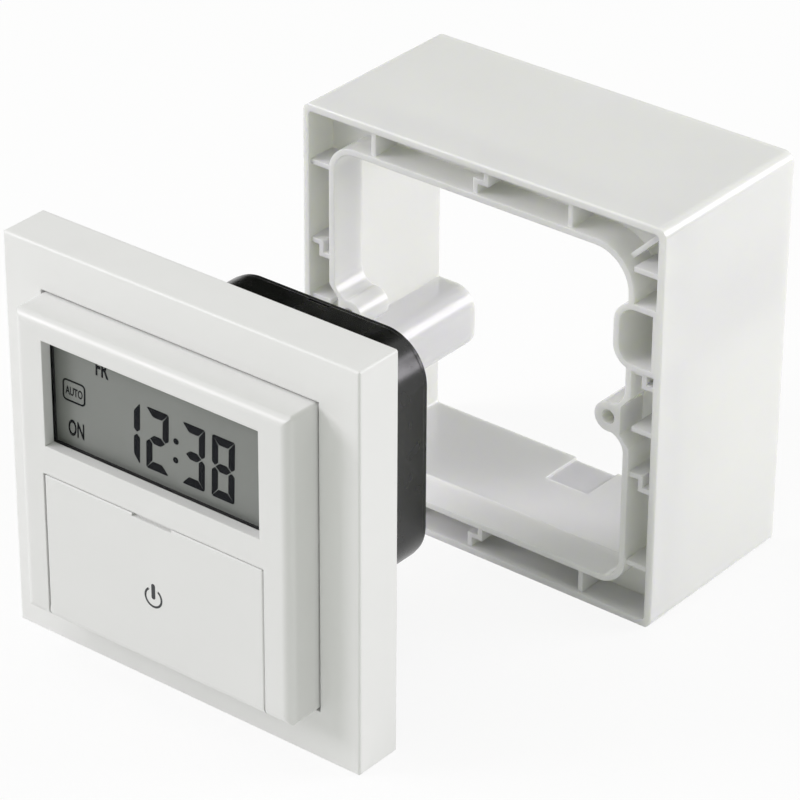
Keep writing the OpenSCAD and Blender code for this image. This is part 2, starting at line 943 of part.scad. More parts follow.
module rear_cover() {
  vents = 5;
  vent_pitch = 4;
  vent_w = 1.2;
  vent_h = 12;
  vent_low = 4;
  color(black)
  difference() {
    union() {
      along_y(cover_y, cover_t)
        rounded(body_w - fit, body_w - fit, body_r);
      along_y(plug_y, cover_y - plug_y + eps)
        difference() {
          rounded(cavity_w - 2 * fit, cavity_w - 2 * fit, cavity_r - fit);
          rounded(cavity_w - 2 * fit - 2 * plug_wall, cavity_w - 2 * fit - 2 * plug_wall,
                  cavity_r - fit - plug_wall);
        }
    }
    // Window for the terminals
    box([-poles * pole_pitch / 2 - fit, plug_y - eps, block_bottom - fit],
        [poles * pole_pitch / 2 + fit, body_deep + eps, block_top + fit]);
    for (i = [0 : vents - 1])
      at((i - (vents - 1) / 2) * vent_pitch, vent_low)
        box([-vent_w / 2, cover_y - eps, 0], [vent_w / 2, body_deep + eps, vent_h]);
  }
}

module power_board() {
  color(board_green)
    along_y(power_y, board_t)
      difference() {
        rounded(power_w, power_w, cavity_r - rib_in - fit);
        pin_row(pin_hole);
      }
}

// Relay with a stepped base
module relay() {
  color([0.10, 0.24, 0.52])
  at(relay_x, relay_z) {
    along_y(power_back + 1, relay_deep - 1)
      square([relay_w, relay_h], center = true);
    along_y(power_back, 1 + eps)
      square([relay_w - 2 * relay_step, relay_h - 2 * relay_step], center = true);
  }
}

module mains_capacitor() {
  color([0.85, 0.72, 0.20])
    at(capacitor_x, capacitor_z)
      along_y(power_back, capacitor_deep)
        square([capacitor_w, capacitor_h], center = true);
}

module smoothing_capacitor() {
  groove_y = power_back + 1.6;
  color([0.12, 0.14, 0.30])
    at(can_x, can_z)
      difference() {
        rod_y(power_back, can_h, can_d);
        // Groove round the can near its sealed end
        rotate([-90, 0, 0])
          translate([0, 0, groove_y])
            rotate_extrude()
              translate([can_d / 2, 0])
                circle(d = 0.8);
      }
}

module surge_varistor() {
  color([0.15, 0.35, 0.62])
    translate([varistor_x, power_back + varistor_d / 2, capacitor_z + 0.8])
      rod_x(varistor_t, varistor_d);
}

module fuse_resistor() {
  color([0.55, 0.75, 0.60])
    translate([fuse_x, power_back + fuse_d / 2, capacitor_z])
      rod_x(fuse_len, fuse_d);
}

module diodes() {
  color([0.12, 0.12, 0.13])
    for (i = [0 : diode_count - 1])
      translate([diode_x + (i - (diode_count - 1) / 2) * diode_pitch,
                 power_back + diode_d / 2, diode_z])
        cylinder(h = diode_len, d = diode_d, center = true);
}

// Repeats along the row of terminals
module at_poles() {
  for (i = [0 : poles - 1])
    at((i - (poles - 1) / 2) * pole_pitch, 0)
      children();
}

// One terminal body for each pole, side by side on the power board
module terminal_block() {
  color([0.80, 0.81, 0.80])
  at_poles()
    difference() {
      box([-pole_w / 2, block_y, block_bottom], [pole_w / 2, block_end, block_top]);
      at(0, wire_z)
        rod_y(block_end - wire_deep, wire_deep + eps, wire_d);
      at(0, access_z)
        rod_y(cage_y, block_end - cage_y + eps, access_d);
      box([-cage_w / 2, cage_y, (wire_z + access_z - cage_h) / 2],
          [cage_w / 2, cage_y + cage_t, (wire_z + access_z + cage_h) / 2]);
    }
}

module terminal_cages() {
  color(brass)
  at_poles()
    difference() {
      box([fit / 2 - cage_w / 2, cage_y, (wire_z + access_z - cage_h + fit) / 2],
          [cage_w / 2 - fit / 2, cage_y + cage_t - fit, (wire_z + access_z + cage_h - fit) / 2]);
      at(0, wire_z)
        rod_y(cage_y - eps, cage_t + 2 * eps, wire_d);
      at(0, access_z)
        rod_y(cage_y - eps, cage_t + 2 * eps, thread_d);
    }
}

module terminal_screws() {
  head_d = access_d - 2 * fit;
  head_t = 2;
  head_y = cage_y + cage_t;
  color(steel)
  at_poles()
    at(0, access_z)
      difference() {
        union() {
          rod_y(head_y - 5, 5 + eps, thread_d - 0.1);
          rod_y(head_y, head_t, head_d);
        }
        box([-head_d, head_y + head_t - 0.8, -0.35], [head_d, head_y + head_t + eps, 0.35]);
      }
}

// Opening through the surface housing: two corners are tighter than the other two
module hole_outline(grow) {
  w = hole_w + 2 * grow;
  difference() {
    square(w, center = true);
    for (corner = [[1, 1, hole_r_large], [-1, -1, hole_r_large],
                   [1, -1, hole_r_small], [-1, 1, hole_r_small]])
      scale_corner(corner, w, corner[2] + grow);
  }
}

// What a round corner of radius r takes away from a square
module scale_corner(corner, w, r) {
  centre = [corner[0] * (w / 2 - r), corner[1] * (w / 2 - r)];
  difference() {
    translate(centre + [corner[0] * r / 2, corner[1] * r / 2])
      square(r + eps, center = true);
    translate(centre)
      circle(r);
  }
}

// Outline of the right screw pocket, joined to the outer wall
module pocket_outline(shrink) {
  left = pocket_x + shrink;
  r = pocket_r - shrink;
  h = pocket_h - 2 * shrink;
  translate([0, pocket_up]) {
    translate([left + r, -h / 2])
      square([cell_w / 2 - shrink / 2 - left - r, h]);
    translate([left, r - h / 2])
      square([r + eps, h - 2 * r]);
    for (side = [-1, 1])
      translate([left + r, side * (h / 2 - r)])
        circle(r);
  }
}

// Outline of the right screw boss with its root on the inner wall
module boss_outline() {
  boss_r = boss_d / 2;
  translate([screw_span / 2, 0])
    circle(boss_r);
  polygon([[screw_span / 2, boss_r], [hole_w / 2 + rib_wall / 2, boss_root],
           [hole_w / 2 + rib_wall / 2, -boss_root], [screw_span / 2, -boss_r]]);
}

// One web across a cell on the right, at height z
module side_web(z) {
  box([hole_w / 2 + rib_wall / 2, web_drop, z - web_t / 2],
      [cell_w / 2 + box_wall / 2, cell_deep + eps, z + web_t / 2]);
}

// Two short ribs that pass each other, one from each wall, with a hooked end
module split_web(z) {
  middle = (hole_w / 2 + rib_wall + cell_w / 2) / 2;
  step = 1.2;
  box([hole_w / 2 + rib_wall / 2, web_drop, z + step - web_t / 2],
      [middle + web_t / 2, cell_deep + eps, z + step + web_t / 2]);
  box([middle - web_t / 2, web_drop, z - step - web_t / 2],
      [cell_w / 2 + box_wall / 2, cell_deep + eps, z - step + web_t / 2]);
  box([middle - web_t / 2, web_drop, z - step - web_t / 2],
      [middle + web_t / 2, cell_deep + eps, z - step + 2 * web_t]);
}

// Webs on the right side and along the top, which repeat after half a turn
module cell_webs() {
  for (z = web_ends)
    side_web(z);
  for (z = web_splits)
    split_web(z);
  rotate([0, -90, 0]) {
    for (x = web_tops)
      side_web(x);
    split_web(0);
  }
  corner_web();
}

// Slanted web in the corner with the large radius
module corner_web() {
  inner = hole_w / 2 - hole_r_large + (hole_r_large + rib_wall / 2) * sqrt(0.5);
  outer = cell_w / 2 + box_wall / 3;
  rotate([0, -45, 0])
    box([inner * sqrt(2), web_drop + 2, -web_t / 2], [outer * sqrt(2), cell_deep + eps, web_t / 2]);
}

module screw_pocket() {
  difference() {
    along_y(0, box_deep)
      pocket_outline(0);
    along_y(-eps, box_deep - pocket_floor + eps)
      pocket_outline(rib_wall);
    at(pocket_middle, pocket_up)
      rod_y(box_deep - pocket_floor - eps, pocket_floor + 2 * eps, wall_screw_d);
  }
}

pocket_middle = (pocket_x + rib_wall + cell_w / 2) / 2;

module surface_housing() {
  color([0.95, 0.95, 0.95])
  translate([box_x, box_y, box_z]) {
    difference() {
      union() {
        difference() {
          soft_block(box_w, box_w, 0, box_deep, box_edge, box_r);
          along_y(-eps, box_deep + 2 * eps)
            rounded(cell_w, cell_w, cell_r);
        }
        along_y(0, lip_deep)
          difference() {
            hole_outline(rib_wall);
            hole_outline(0);
          }
        along_y(cell_deep, rib_wall)
          difference() {
            rounded(cell_w + eps, cell_w + eps, cell_r);
            hole_outline(rib_wall / 2);
          }
        half_turn()
          cell_webs();
        half_turn()
          along_y(boss_drop, boss_len)
            boss_outline();
      }
      half_turn() {
        along_y(-eps, box_deep - pocket_floor + eps)
          pocket_outline(rib_wall);
        at(screw_span / 2, 0)
          rod_y(boss_drop - eps, boss_len + 2 * eps, boss_hole);
      }
      // Thin panels in the rear edges that break out for a cable
      for (side = [-1, 1])
        box([-knock_w / 2, box_deep - knock_w, side * cell_w / 2 - knock_t],
            [knock_w / 2, box_deep + eps, side * cell_w / 2 + knock_t]);
    }
    half_turn()
      screw_pocket();
  }
}

cover_frame();
bezel();
display_pane();
display_gasket();
display_front_glass();
display_rear_glass();
display_reflector();
display_holder();
contact_strip();
front_module();
flap();
key_clock();
key_day();
key_hour();
key_minute();
key_program();
key_random();
key_manual();
button_reset();
plunger_clock();
plunger_day();
plunger_hour();
plunger_minute();
plunger_program();
plunger_random();
plunger_manual();
plunger_reset();
key_switches();
display_board();
board_screws();
controller_chip();
clock_crystal();
backup_cell();
cell_strap();
pin_socket();
contact_pins();
pin_header();
insulating_sheet();
mounting_plate();
base_screws();
rear_housing();
rear_cover();
power_board();
relay();
mains_capacitor();
smoothing_capacitor();
surge_varistor();
fuse_resistor();
diodes();
terminal_block();
terminal_cages();
terminal_screws();
surface_housing();
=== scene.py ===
"""Looks of the in-wall digital timer switch: display marks, printed signs, finishes and studio."""
import json
import math

import bpy
from mathutils import Matrix, Vector


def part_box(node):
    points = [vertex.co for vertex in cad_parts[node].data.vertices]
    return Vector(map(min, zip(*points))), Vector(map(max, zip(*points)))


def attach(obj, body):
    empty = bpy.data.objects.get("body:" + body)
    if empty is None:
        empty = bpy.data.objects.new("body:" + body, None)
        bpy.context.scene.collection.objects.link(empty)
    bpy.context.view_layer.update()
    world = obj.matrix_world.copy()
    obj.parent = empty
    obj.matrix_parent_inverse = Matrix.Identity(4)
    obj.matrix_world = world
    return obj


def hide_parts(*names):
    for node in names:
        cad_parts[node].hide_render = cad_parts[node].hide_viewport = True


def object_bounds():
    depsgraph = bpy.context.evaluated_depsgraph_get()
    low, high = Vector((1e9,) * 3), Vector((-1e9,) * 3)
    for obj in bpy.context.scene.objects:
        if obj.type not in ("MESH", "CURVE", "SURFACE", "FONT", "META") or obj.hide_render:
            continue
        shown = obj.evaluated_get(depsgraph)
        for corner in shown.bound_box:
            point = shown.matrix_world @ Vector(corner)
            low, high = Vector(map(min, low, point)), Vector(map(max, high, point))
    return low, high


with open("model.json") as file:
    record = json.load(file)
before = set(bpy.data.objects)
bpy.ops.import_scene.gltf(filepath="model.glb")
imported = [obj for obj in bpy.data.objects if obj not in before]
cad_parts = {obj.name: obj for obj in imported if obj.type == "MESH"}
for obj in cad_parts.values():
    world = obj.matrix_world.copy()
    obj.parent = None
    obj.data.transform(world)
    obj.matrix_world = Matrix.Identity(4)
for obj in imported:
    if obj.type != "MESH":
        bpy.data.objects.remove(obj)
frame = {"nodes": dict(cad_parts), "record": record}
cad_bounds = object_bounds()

bl_info = {
    "name": "Timer Switch Looks",
    "version": (1, 0, 0),
    "blender": (4, 5, 0),
    "location": "3D View > Sidebar > Timer",
    "description": "Marks, finishes and studio of an in-wall digital timer switch",
    "category": "Object",
}

MM = 0.001
# Points closer than this are one point, and an edge that turns more than this is a sharp one
MERGE = 0.001 * MM
SHARP_EDGE = math.radians(35)


def length(name, description, millimetres):
    """A size property that is written in millimetres and kept in metres."""
    return bpy.props.FloatProperty(
        name=name, description=description, default=millimetres * MM, unit="LENGTH", precision=5)


def colour(name, description, red, green, blue):
    """A colour property, as the linear values that a shader takes."""
    return bpy.props.FloatVectorProperty(
        name=name, description=description, default=(red, green, blue), subtype="COLOR",
        size=3, min=0, max=1)


def angle(name, description, degrees):
    """An angle property that is written in degrees."""
    return bpy.props.FloatProperty(
        name=name, description=description, default=math.radians(degrees), subtype="ANGLE")


def share(name, description, value):
    """A property from 0 to 1."""
    return bpy.props.FloatProperty(
        name=name, description=description, default=value, min=0, max=1, subtype="FACTOR")


class TimerCamera(bpy.types.PropertyGroup):
    """The place and the lens of the camera"""
    azimuth: angle("Azimuth", "Turn of the camera to the right of the front", 38.556)
    elevation: angle("Elevation", "Angle of the camera above the floor", 29.742)
    roll: angle("Roll", "Turn of the camera about its own axis", 0.315)
    distance: length("Distance", "From the camera to the point that it looks at", 660.618)
    target_x: length("Target right", "Point that the camera looks at, right of the axis", 48.464)
    target_y: length("Target back", "Point that the camera looks at, behind the wall plane", -10)
    target_z: length("Target up", "Point that the camera looks at, above the axis", 37.952)
    lens: bpy.props.FloatProperty(
        name="Lens", description="Focal length on a 36 mm sensor, in millimetres", default=183.481)


class TimerDisplay(bpy.types.PropertyGroup):
    """Sizes of the marks on the display"""
    digit_height: length("Digit height", "Height of a digit of the clock", 12.26)
    digit_width: length("Digit width", "Width of a digit of the clock", 5.09)
    bar_flat: length("Flat stroke", "Thickness of the level strokes of a digit", 1.68)
    bar_upright: length("Upright stroke", "Thickness of the upright strokes of a digit", 1.38)
    bar_gap: length("Stroke gap", "Light gap between two strokes", 0.2)
    bar_round: length("Stroke rounding", "Rounding of the outer corners of a digit", 0.42)
    slant: angle("Slant", "Lean of the digits to the right", 1.9)
    digits_low: length("Digits foot", "Foot of the digits above the middle of the display", -8.63)
    ink_depth: length("Ink depth", "Thickness of every mark on the display", 0.04)
    dot_radius: length("Dot radius", "Radius of the two dots between hours and minutes", 0.6)
    ink: colour("Ink", "Colour of the marks on the display", 0.006, 0.0065, 0.009)


class TimerSigns(bpy.types.PropertyGroup):
    """Sizes of the signs on the flap, the keys and the rear cover"""
    ring_radius: length("Ring radius", "Middle radius of the ring of the power sign", 1.86)
    ring_line: length("Ring line", "Thickness of the ring of the power sign", 0.42)
    ring_opening: angle("Ring opening", "Angle of the opening at the top of the ring", 71)
    stem_width: length("Stem width", "Width of the upright bar of the power sign", 0.88)
    stem_length: length("Stem length", "Length of the upright bar of the power sign", 3.14)
    sign_up: length("Ring up", "Middle of the ring above the middle of the manual key", -0.13)
    print_depth: length("Print depth", "Thickness of printed signs", 0.02)
    key_letter: length("Key letter", "Height of a letter on a key", 2.2)
    number_height: length("Number height", "Height of the numbers at the terminals", 2.6)
    number_relief: length("Number relief", "How far the moulded numbers stand up", 0.25)
    print_grey: colour("Print", "Colour of the printed signs", 0.052, 0.054, 0.058)


class TimerForms(bpy.types.PropertyGroup):
    """Sizes of the forms that are finer here than in the solids"""
    window_width: length("Window width", "Width of the display window", 49)
    window_height: length("Window height", "Height of the display window", 21)
    gasket_room: length("Gasket room", "How far the gasket stays outside the window", 0.35)
    body_more: length("Body depth", "How much deeper the rear body is than its solid", 3)
    body_split: length("Body split", "Depth behind the wall plane from which the rear body moves", 14)
    screw_side: length("Screw place", "Distance of a screw boss from the middle of the housing", 30)
    inner_wall: length("Inner wall", "Distance of the inner wall from the middle of the housing", 33.5)
    lip_deep: length("Lip depth", "Depth of the inner wall of the housing", 8.2)
    boss_radius: length("Boss radius", "Radius of a screw boss", 3)
    boss_hole: length("Boss hole", "Radius of the hole in a screw boss", 1.4)
    boss_root: length("Boss root", "Half the height of a boss where it meets the wall", 6.5)
    boss_neck: length("Boss neck", "Half the height of a boss beside its round end", 2.8)


class TimerFinish(bpy.types.PropertyGroup):
    """Colours and surface of the plastics that show"""
    frame_white: colour("Frame white", "Cover frame", 0.84, 0.84, 0.835)
    bezel_white: colour("Bezel white", "Bezel and flap", 0.79, 0.79, 0.785)
    housing_white: colour("Housing white", "Surface housing", 0.815, 0.815, 0.81)
    body_black: colour("Body black", "Rear housing and rear cover", 0.005, 0.0055, 0.0045)
    display_grey: colour("Display grey", "Display glass", 0.265, 0.275, 0.262)
    edge: length("Edge softness", "Radius of the softened moulded edges", 0.3)
    grain: length("Moulding grain", "Size of the fine grain of the moulded plastics", 0.35)


class TimerStudio(bpy.types.PropertyGroup):
    """Floor and lights"""
    floor_gap: length("Floor gap", "How far the floor lies below the object", 0.05)
    floor_size: length("Floor size", "Width of the floor", 6000)
    floor_white: share("Floor white", "Share of plain white in the floor that the camera sees", 0.88)
    sky: bpy.props.FloatProperty(name="Sky", description="Strength of the even light", default=0.46)
    key: bpy.props.FloatProperty(name="Key light", description="Power in watts", default=8.0)
    rim: bpy.props.FloatProperty(name="Rim light", description="Power in watts", default=8.0)
    top: bpy.props.FloatProperty(name="Top light", description="Power in watts", default=2.4)


GROUPS = {
    "timer_camera": TimerCamera,
    "timer_display": TimerDisplay,
    "timer_signs": TimerSigns,
    "timer_forms": TimerForms,
    "timer_finish": TimerFinish,
    "timer_studio": TimerStudio,
}


# Selecting and editing

def start_fresh():
    """Leaves edit mode and deselects everything, so an operator acts on the new piece alone."""
    if bpy.context.object and bpy.context.object.mode != "OBJECT":
        bpy.ops.object.mode_set(mode="OBJECT")
    bpy.ops.object.select_all(action="DESELECT")


def select_only(*objects):
    start_fresh()
    for thing in objects:
        thing.select_set(True)
    bpy.context.view_layer.objects.active = objects[0]


def select_all():
    """Selects the whole of the piece in edit mode."""
    bpy.ops.mesh.select_all(action="SELECT")


def edit_all():
    bpy.ops.object.mode_set(mode="EDIT")
    select_all()


def leave_edit():
    bpy.ops.object.mode_set(mode="OBJECT")


def merge_points():
    bpy.ops.mesh.remove_doubles(threshold=MERGE)


def face_out():
    bpy.ops.mesh.normals_make_consistent(inside=False)


def shift(x, y, z):
    """Moves what is selected in edit mode."""
    bpy.ops.transform.translate(value=(x, y, z))


def round_corners(radius, steps):
    """Rounds the selected corners of a flat piece in edit mode."""
    bpy.ops.mesh.bevel(offset=radius, segments=steps, affect="VERTICES")


def select_points(piece, test):
    """Selects in edit mode the points whose place passes the test."""
    bpy.ops.mesh.select_all(action="DESELECT")
    bpy.ops.mesh.select_mode(type="VERT")
    leave_edit()
    for point in piece.data.vertices:
        point.select = test(point.co)
    bpy.ops.object.mode_set(mode="EDIT")


def new_plane(name, width, height, x=0.0, y=0.0):
    """A flat rectangle in the XY plane, left in edit mode with everything selected."""
    start_fresh()
    bpy.ops.mesh.primitive_plane_add(size=1)
    piece = bpy.context.object
    piece.name = name
    edit_all()
    bpy.ops.transform.resize(value=(width, height, 1))
    shift(x, y, 0)
    return piece


def new_disc(name, radius, corners, x=0.0, y=0.0):
    """A flat disc in the XY plane, left in edit mode with everything selected."""
    start_fresh()
    bpy.ops.mesh.primitive_circle_add(vertices=corners, radius=radius, fill_type="NGON")
    piece = bpy.context.object
    piece.name = name
    edit_all()
    shift(x, y, 0)
    return piece


def thicken(depth):
    """Gives a flat piece in edit mode its thickness, and leaves edit mode."""
    select_all()
    bpy.ops.mesh.extrude_region_move(TRANSFORM_OT_translate={"value": (0, 0, depth)})
    select_all()
    face_out()
    leave_edit()


def join(name, pieces):
    select_only(*pieces)
    bpy.ops.object.join()
    joined = bpy.context.object
    joined.name = name
    joined.data.name = name
    return joined


def copy_of(piece, matrix):
    """A copy with its own mesh, moved by the matrix and facing the right way again."""
    twin = piece.copy()
    twin.data = piece.data.copy()
    bpy.context.scene.collection.objects.link(twin)
    twin.data.transform(matrix)
    select_only(twin)
    edit_all()
    face_out()
    leave_edit()
    return twin


def drop(piece):
    bpy.data.objects.remove(piece)


# Pieces that stand for a CAD node, and the node
STAND_INS = {
    "window_gasket": "display_gasket",
    "rear_body_shell": "rear_housing",
    "rear_body_cover": "rear_cover",
    "housing_moulding": "surface_housing",
}


def copy_of_node(name):
    """A merged copy of a stand-in's CAD node, to start the piece from."""
    piece = bpy.data.objects.new(name, frame["nodes"][STAND_INS[name]].data.copy())
    piece.data.name = name
    bpy.context.scene.collection.objects.link(piece)
    select_only(piece)
    bpy.ops.mesh.customdata_custom_splitnormals_clear()
    edit_all()
    merge_points()
    leave_edit()
    return piece


def carve(piece, tool, operation="DIFFERENCE"):
    """Cuts a tool out of a piece, or joins it on, and drops the tool."""
    select_only(piece)
    change = piece.modifiers.new("carve", "BOOLEAN")
    change.operation = operation
    change.solver = "EXACT"
    change.object = tool
    bpy.ops.object.modifier_apply(modifier=change.name)
    drop(tool)


def soften(piece):
    """Smooth shading except over sharp edges."""
    select_only(piece)
    bpy.ops.object.shade_smooth_by_angle(angle=SHARP_EDGE)


def stand_in(piece):
    """Puts a piece in the place of its CAD node, which is one of the base, and hides the node; the
    finishes step gives it the node's material.
    """
    node = STAND_INS[piece.name]
    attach(piece, "timer_base")
    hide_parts(node)


FACING_FRONT = Matrix.Rotation(math.radians(90), 4, "X")
FACING_BACK = Matrix.Rotation(math.radians(180), 4, "Z") @ FACING_FRONT


def put_up(piece, facing, x, y, z):
    """Stands a flat piece upright at its place, in its mesh."""
    piece.data.transform(Matrix.Translation((x, y, z)) @ facing)
    return piece


def coat(piece, material):
    """Gives a piece its one material."""
    piece.data.materials.clear()
    piece.data.materials.append(material)


def finish_piece(piece, body, material):
    """Gives a finished piece its material and the body that it moves with."""
    coat(piece, material)
    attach(piece, body)


def lettering(name, words, height, narrow, depth, bold=0.0):
    """Plain letters as a mesh in the XY plane, centred on the origin and of the given height."""
    start_fresh()
    bpy.ops.object.text_add()
    letters = bpy.context.object
    letters.data.body = words
    letters.data.offset = bold
    bpy.ops.object.convert(target="MESH")
    letters = bpy.context.object
    letters.name = name
    low = Vector(tuple(min(p.co[i] for p in letters.data.vertices) for i in range(3)))
    high = Vector(tuple(max(p.co[i] for p in letters.data.vertices) for i in range(3)))
    size = height / (high.y - low.y)
    letters.data.transform(
        Matrix.Diagonal((size * narrow, size, 1, 1)) @ Matrix.Translation(-(low + high) / 2))
    edit_all()
    merge_points()
    thicken(depth)
    return letters


def lean(piece, turn):
    """Leans a flat piece to the right."""
    piece.data.transform(Matrix(((1, math.tan(turn), 0, 0), (0, 1, 0, 0), (0, 0, 1, 0), (0, 0, 0, 1))))
    return piece


# Materials

class Recipe:
    """One procedural material: a Principled surface and the nodes that feed it."""

    def __init__(self, name, roughness, metallic=0.0):
        self.material = bpy.data.materials.new(name)
        self.material.use_nodes = True
        self.tree = self.material.node_tree
        self.surface = self.tree.nodes["Principled BSDF"]
        self.surface.inputs["Roughness"].default_value = roughness
        self.surface.inputs["Metallic"].default_value = metallic
        self.place = self.add("ShaderNodeTexCoord").outputs["Object"]

    def add(self, kind, **inputs):
        """A node with its inputs set, or linked where a socket is given."""
        node = self.tree.nodes.new(kind)
        for name, value in inputs.items():
            self.put(node.inputs[name.replace("_", " ")], value)
        return node

    def put(self, socket, value):
        if isinstance(value, bpy.types.NodeSocket):
            self.tree.links.new(value, socket)
        else:
            socket.default_value = value

    def stretched(self, x, y, z):
        """Object coordinates with another scale along each axis."""
        mapping = self.add("ShaderNodeMapping", Vector=self.place)
        mapping.inputs["Scale"].default_value = (x, y, z)
        return mapping.outputs["Vector"]

    def noise(self, size, detail=2.0, place=None):
        """Noise whose features measure about size, from 0 to 1."""
        return self.add("ShaderNodeTexNoise", Vector=place or self.place, Scale=1 / size,
                        Detail=detail).outputs["Fac"]

    def between(self, factor, low, high, from_low=0.3, from_high=0.7):
        """The factor's range turned into values from low to high."""
        node = self.add("ShaderNodeMapRange", Value=factor)
        for name, value in (("From Min", from_low), ("From Max", from_high),
                            ("To Min", low), ("To Max", high)):
            node.inputs[name].default_value = value
        return node.outputs["Result"]

    def blend(self, factor, first, second):
        """A colour between two others."""
        node = self.tree.nodes.new("ShaderNodeMix")
        node.data_type = "RGBA"
        self.put(node.inputs["Factor"], factor)
        self.put(node.inputs["A"], first)
        self.put(node.inputs["B"], second)
        return next(out for out in node.outputs if out.type == "RGBA")

    def paint(self, source):
        self.put(self.surface.inputs["Base Color"], source)

    def rough(self, source):
        self.put(self.surface.inputs["Roughness"], source)

    def relief(self, height, depth, edge=0.0):
        """Bump of the given depth, over edges softened by the given radius."""
        bump = self.add("ShaderNodeBump", Height=height, Strength=1.0, Distance=depth)
        if edge:
            soft = self.add("ShaderNodeBevel", Radius=edge)
            soft.samples = 6
            self.tree.links.new(soft.outputs["Normal"], bump.inputs["Normal"])
        self.put(self.surface.inputs["Normal"], bump.outputs["Normal"])


def rgba(value, gain=1.0):
    return tuple(min(channel * gain, 1) for channel in value[:3]) + (1,)


# Moulded plastic: size of its slow changes of tone and of its changes of gloss
TONE_PATCH = 22 * MM
GLOSS_PATCH = 4 * MM


def moulded(name, tone, roughness, edge, grain, depth=0.004 * MM, specular=0.5, spread=0.02):
    """Injection moulded plastic: a fine grain, slow changes of tone and faintly uneven gloss."""
    recipe = Recipe(name, roughness)
    slow = recipe.noise(TONE_PATCH, detail=3)
    recipe.paint(recipe.blend(slow, rgba(tone, 1 - spread), rgba(tone, 1 + spread)))
    recipe.rough(recipe.between(recipe.noise(GLOSS_PATCH), roughness - 0.03, roughness + 0.05))
    recipe.surface.inputs["Specular IOR Level"].default_value = specular
    recipe.relief(recipe.noise(grain), depth, edge)
    return recipe.material


# How far red, green and blue light spread inside the pale plastic, as shares of its reach
CLOUD_SPREAD = (1.0, 1.05, 0.8)


def clouded(material, weight, reach):
    """Lets light spread inside the plastic, as in thin walls of pale plastic."""
    surface = material.node_tree.nodes["Principled BSDF"]
    surface.inputs["Subsurface Weight"].default_value = weight
    surface.inputs["Subsurface Radius"].default_value = CLOUD_SPREAD
    surface.inputs["Subsurface Scale"].default_value = reach
    return material


def printed(name, tone, roughness=0.55, specular=0.3):
    """Printed ink, a little thicker and thinner from place to place."""
    recipe = Recipe(name, roughness)
    recipe.surface.inputs["Specular IOR Level"].default_value = specular
    cloud = recipe.noise(size=0.6 * MM, detail=3)
    recipe.paint(recipe.blend(cloud, rgba(tone, 0.85), rgba(tone, 1.2)))
    recipe.rough(recipe.between(cloud, roughness - 0.06, roughness + 0.06))
    recipe.relief(recipe.noise(size=0.12 * MM), depth=0.002 * MM)
    return recipe.material


def display_glass(name, tone):
    """Liquid crystal cell: a grey film under smooth glass, with a fine even sparkle."""
    recipe = Recipe(name, roughness=0.3)
    sparkle = recipe.noise(size=0.08 * MM, detail=1)
    cloud = recipe.noise(size=9 * MM)
    film = recipe.blend(sparkle, rgba(tone, 0.94), rgba(tone, 1.06))
    recipe.paint(recipe.blend(recipe.between(cloud, low=0, high=0.35), film, rgba(tone, 0.9)))
    recipe.rough(recipe.between(sparkle, low=0.24, high=0.36))
    recipe.surface.inputs["Specular IOR Level"].default_value = 0.25
    recipe.relief(sparkle, depth=0.001 * MM)
    return recipe.material


def clear_pane(name):
    """Clear window: almost nothing but its gloss shows."""
    recipe = Recipe(name, roughness=0.06)
    haze = recipe.noise(size=12 * MM)
    recipe.paint(recipe.blend(haze, (0.05, 0.055, 0.055, 1), (0.09, 0.095, 0.09, 1)))
    recipe.rough(recipe.between(haze, low=0.04, high=0.09))
    recipe.surface.inputs["Alpha"].default_value = 0.03
    recipe.relief(recipe.noise(size=5 * MM), depth=0.001 * MM)
    return recipe.material


# Rolling lines to the metre across the sheet, and along it
LINES_ACROSS = 8000.0
LINES_ALONG = 300.0


def sheet_metal(name, tone, roughness, along):
    """Rolled and plated sheet, with fine lines along one axis."""
    recipe = Recipe(name, roughness, metallic=1.0)
    scales = [LINES_ACROSS] * 3
    scales[along] = LINES_ALONG
    lines = recipe.noise(size=1.0, place=recipe.stretched(*scales))
    cloud = recipe.noise(size=7 * MM, detail=3)
    recipe.paint(recipe.blend(cloud, rgba(tone, 0.9), rgba(tone, 1.05)))
    recipe.rough(recipe.between(lines, roughness - 0.08, roughness + 0.1))
    recipe.relief(lines, depth=0.002 * MM, edge=0.08 * MM)
    return recipe.material


def circuit_board(name, tone):
    """Solder mask over copper tracks, which show as paler raised lines."""
    recipe = Recipe(name, roughness=0.35)
    upright = recipe.add("ShaderNodeMapping", Vector=recipe.place, Rotation=(math.radians(90), 0, 0))
    tracks = recipe.add("ShaderNodeTexBrick", Vector=upright.outputs["Vector"], Scale=160.0,
                        Mortar_Size=0.012, Mortar_Smooth=0.2).outputs["Fac"]
    cloud = recipe.noise(size=6 * MM, detail=3)
    mask = recipe.blend(cloud, rgba(tone, 0.85), rgba(tone, 1.15))
    over_copper = rgba((tone[0] * 1.8, tone[1] * 1.45, tone[2] * 1.3))
    recipe.paint(recipe.blend(tracks, mask, over_copper))
    recipe.rough(recipe.between(cloud, low=0.3, high=0.42))
    recipe.relief(tracks, depth=0.02 * MM, edge=0.08 * MM)
    return recipe.material


def striped_rubber(name, tone):
    """Rubber strip with thin conducting layers across it."""
    recipe = Recipe(name, roughness=0.6)
    layers = recipe.add("ShaderNodeTexWave", Vector=recipe.place, Scale=900.0).outputs["Fac"]
    recipe.paint(recipe.blend(layers, (0.02, 0.02, 0.02, 1), rgba(tone)))
    recipe.rough(recipe.between(layers, low=0.5, high=0.7, from_low=0, from_high=1))
    recipe.relief(layers, depth=0.004 * MM)
    return recipe.material


# Depth of the stripe on the can, in from the can's side, and the softness of its edge
STRIPE_DEEP = 0.9 * MM
STRIPE_SOFT = 0.05 * MM


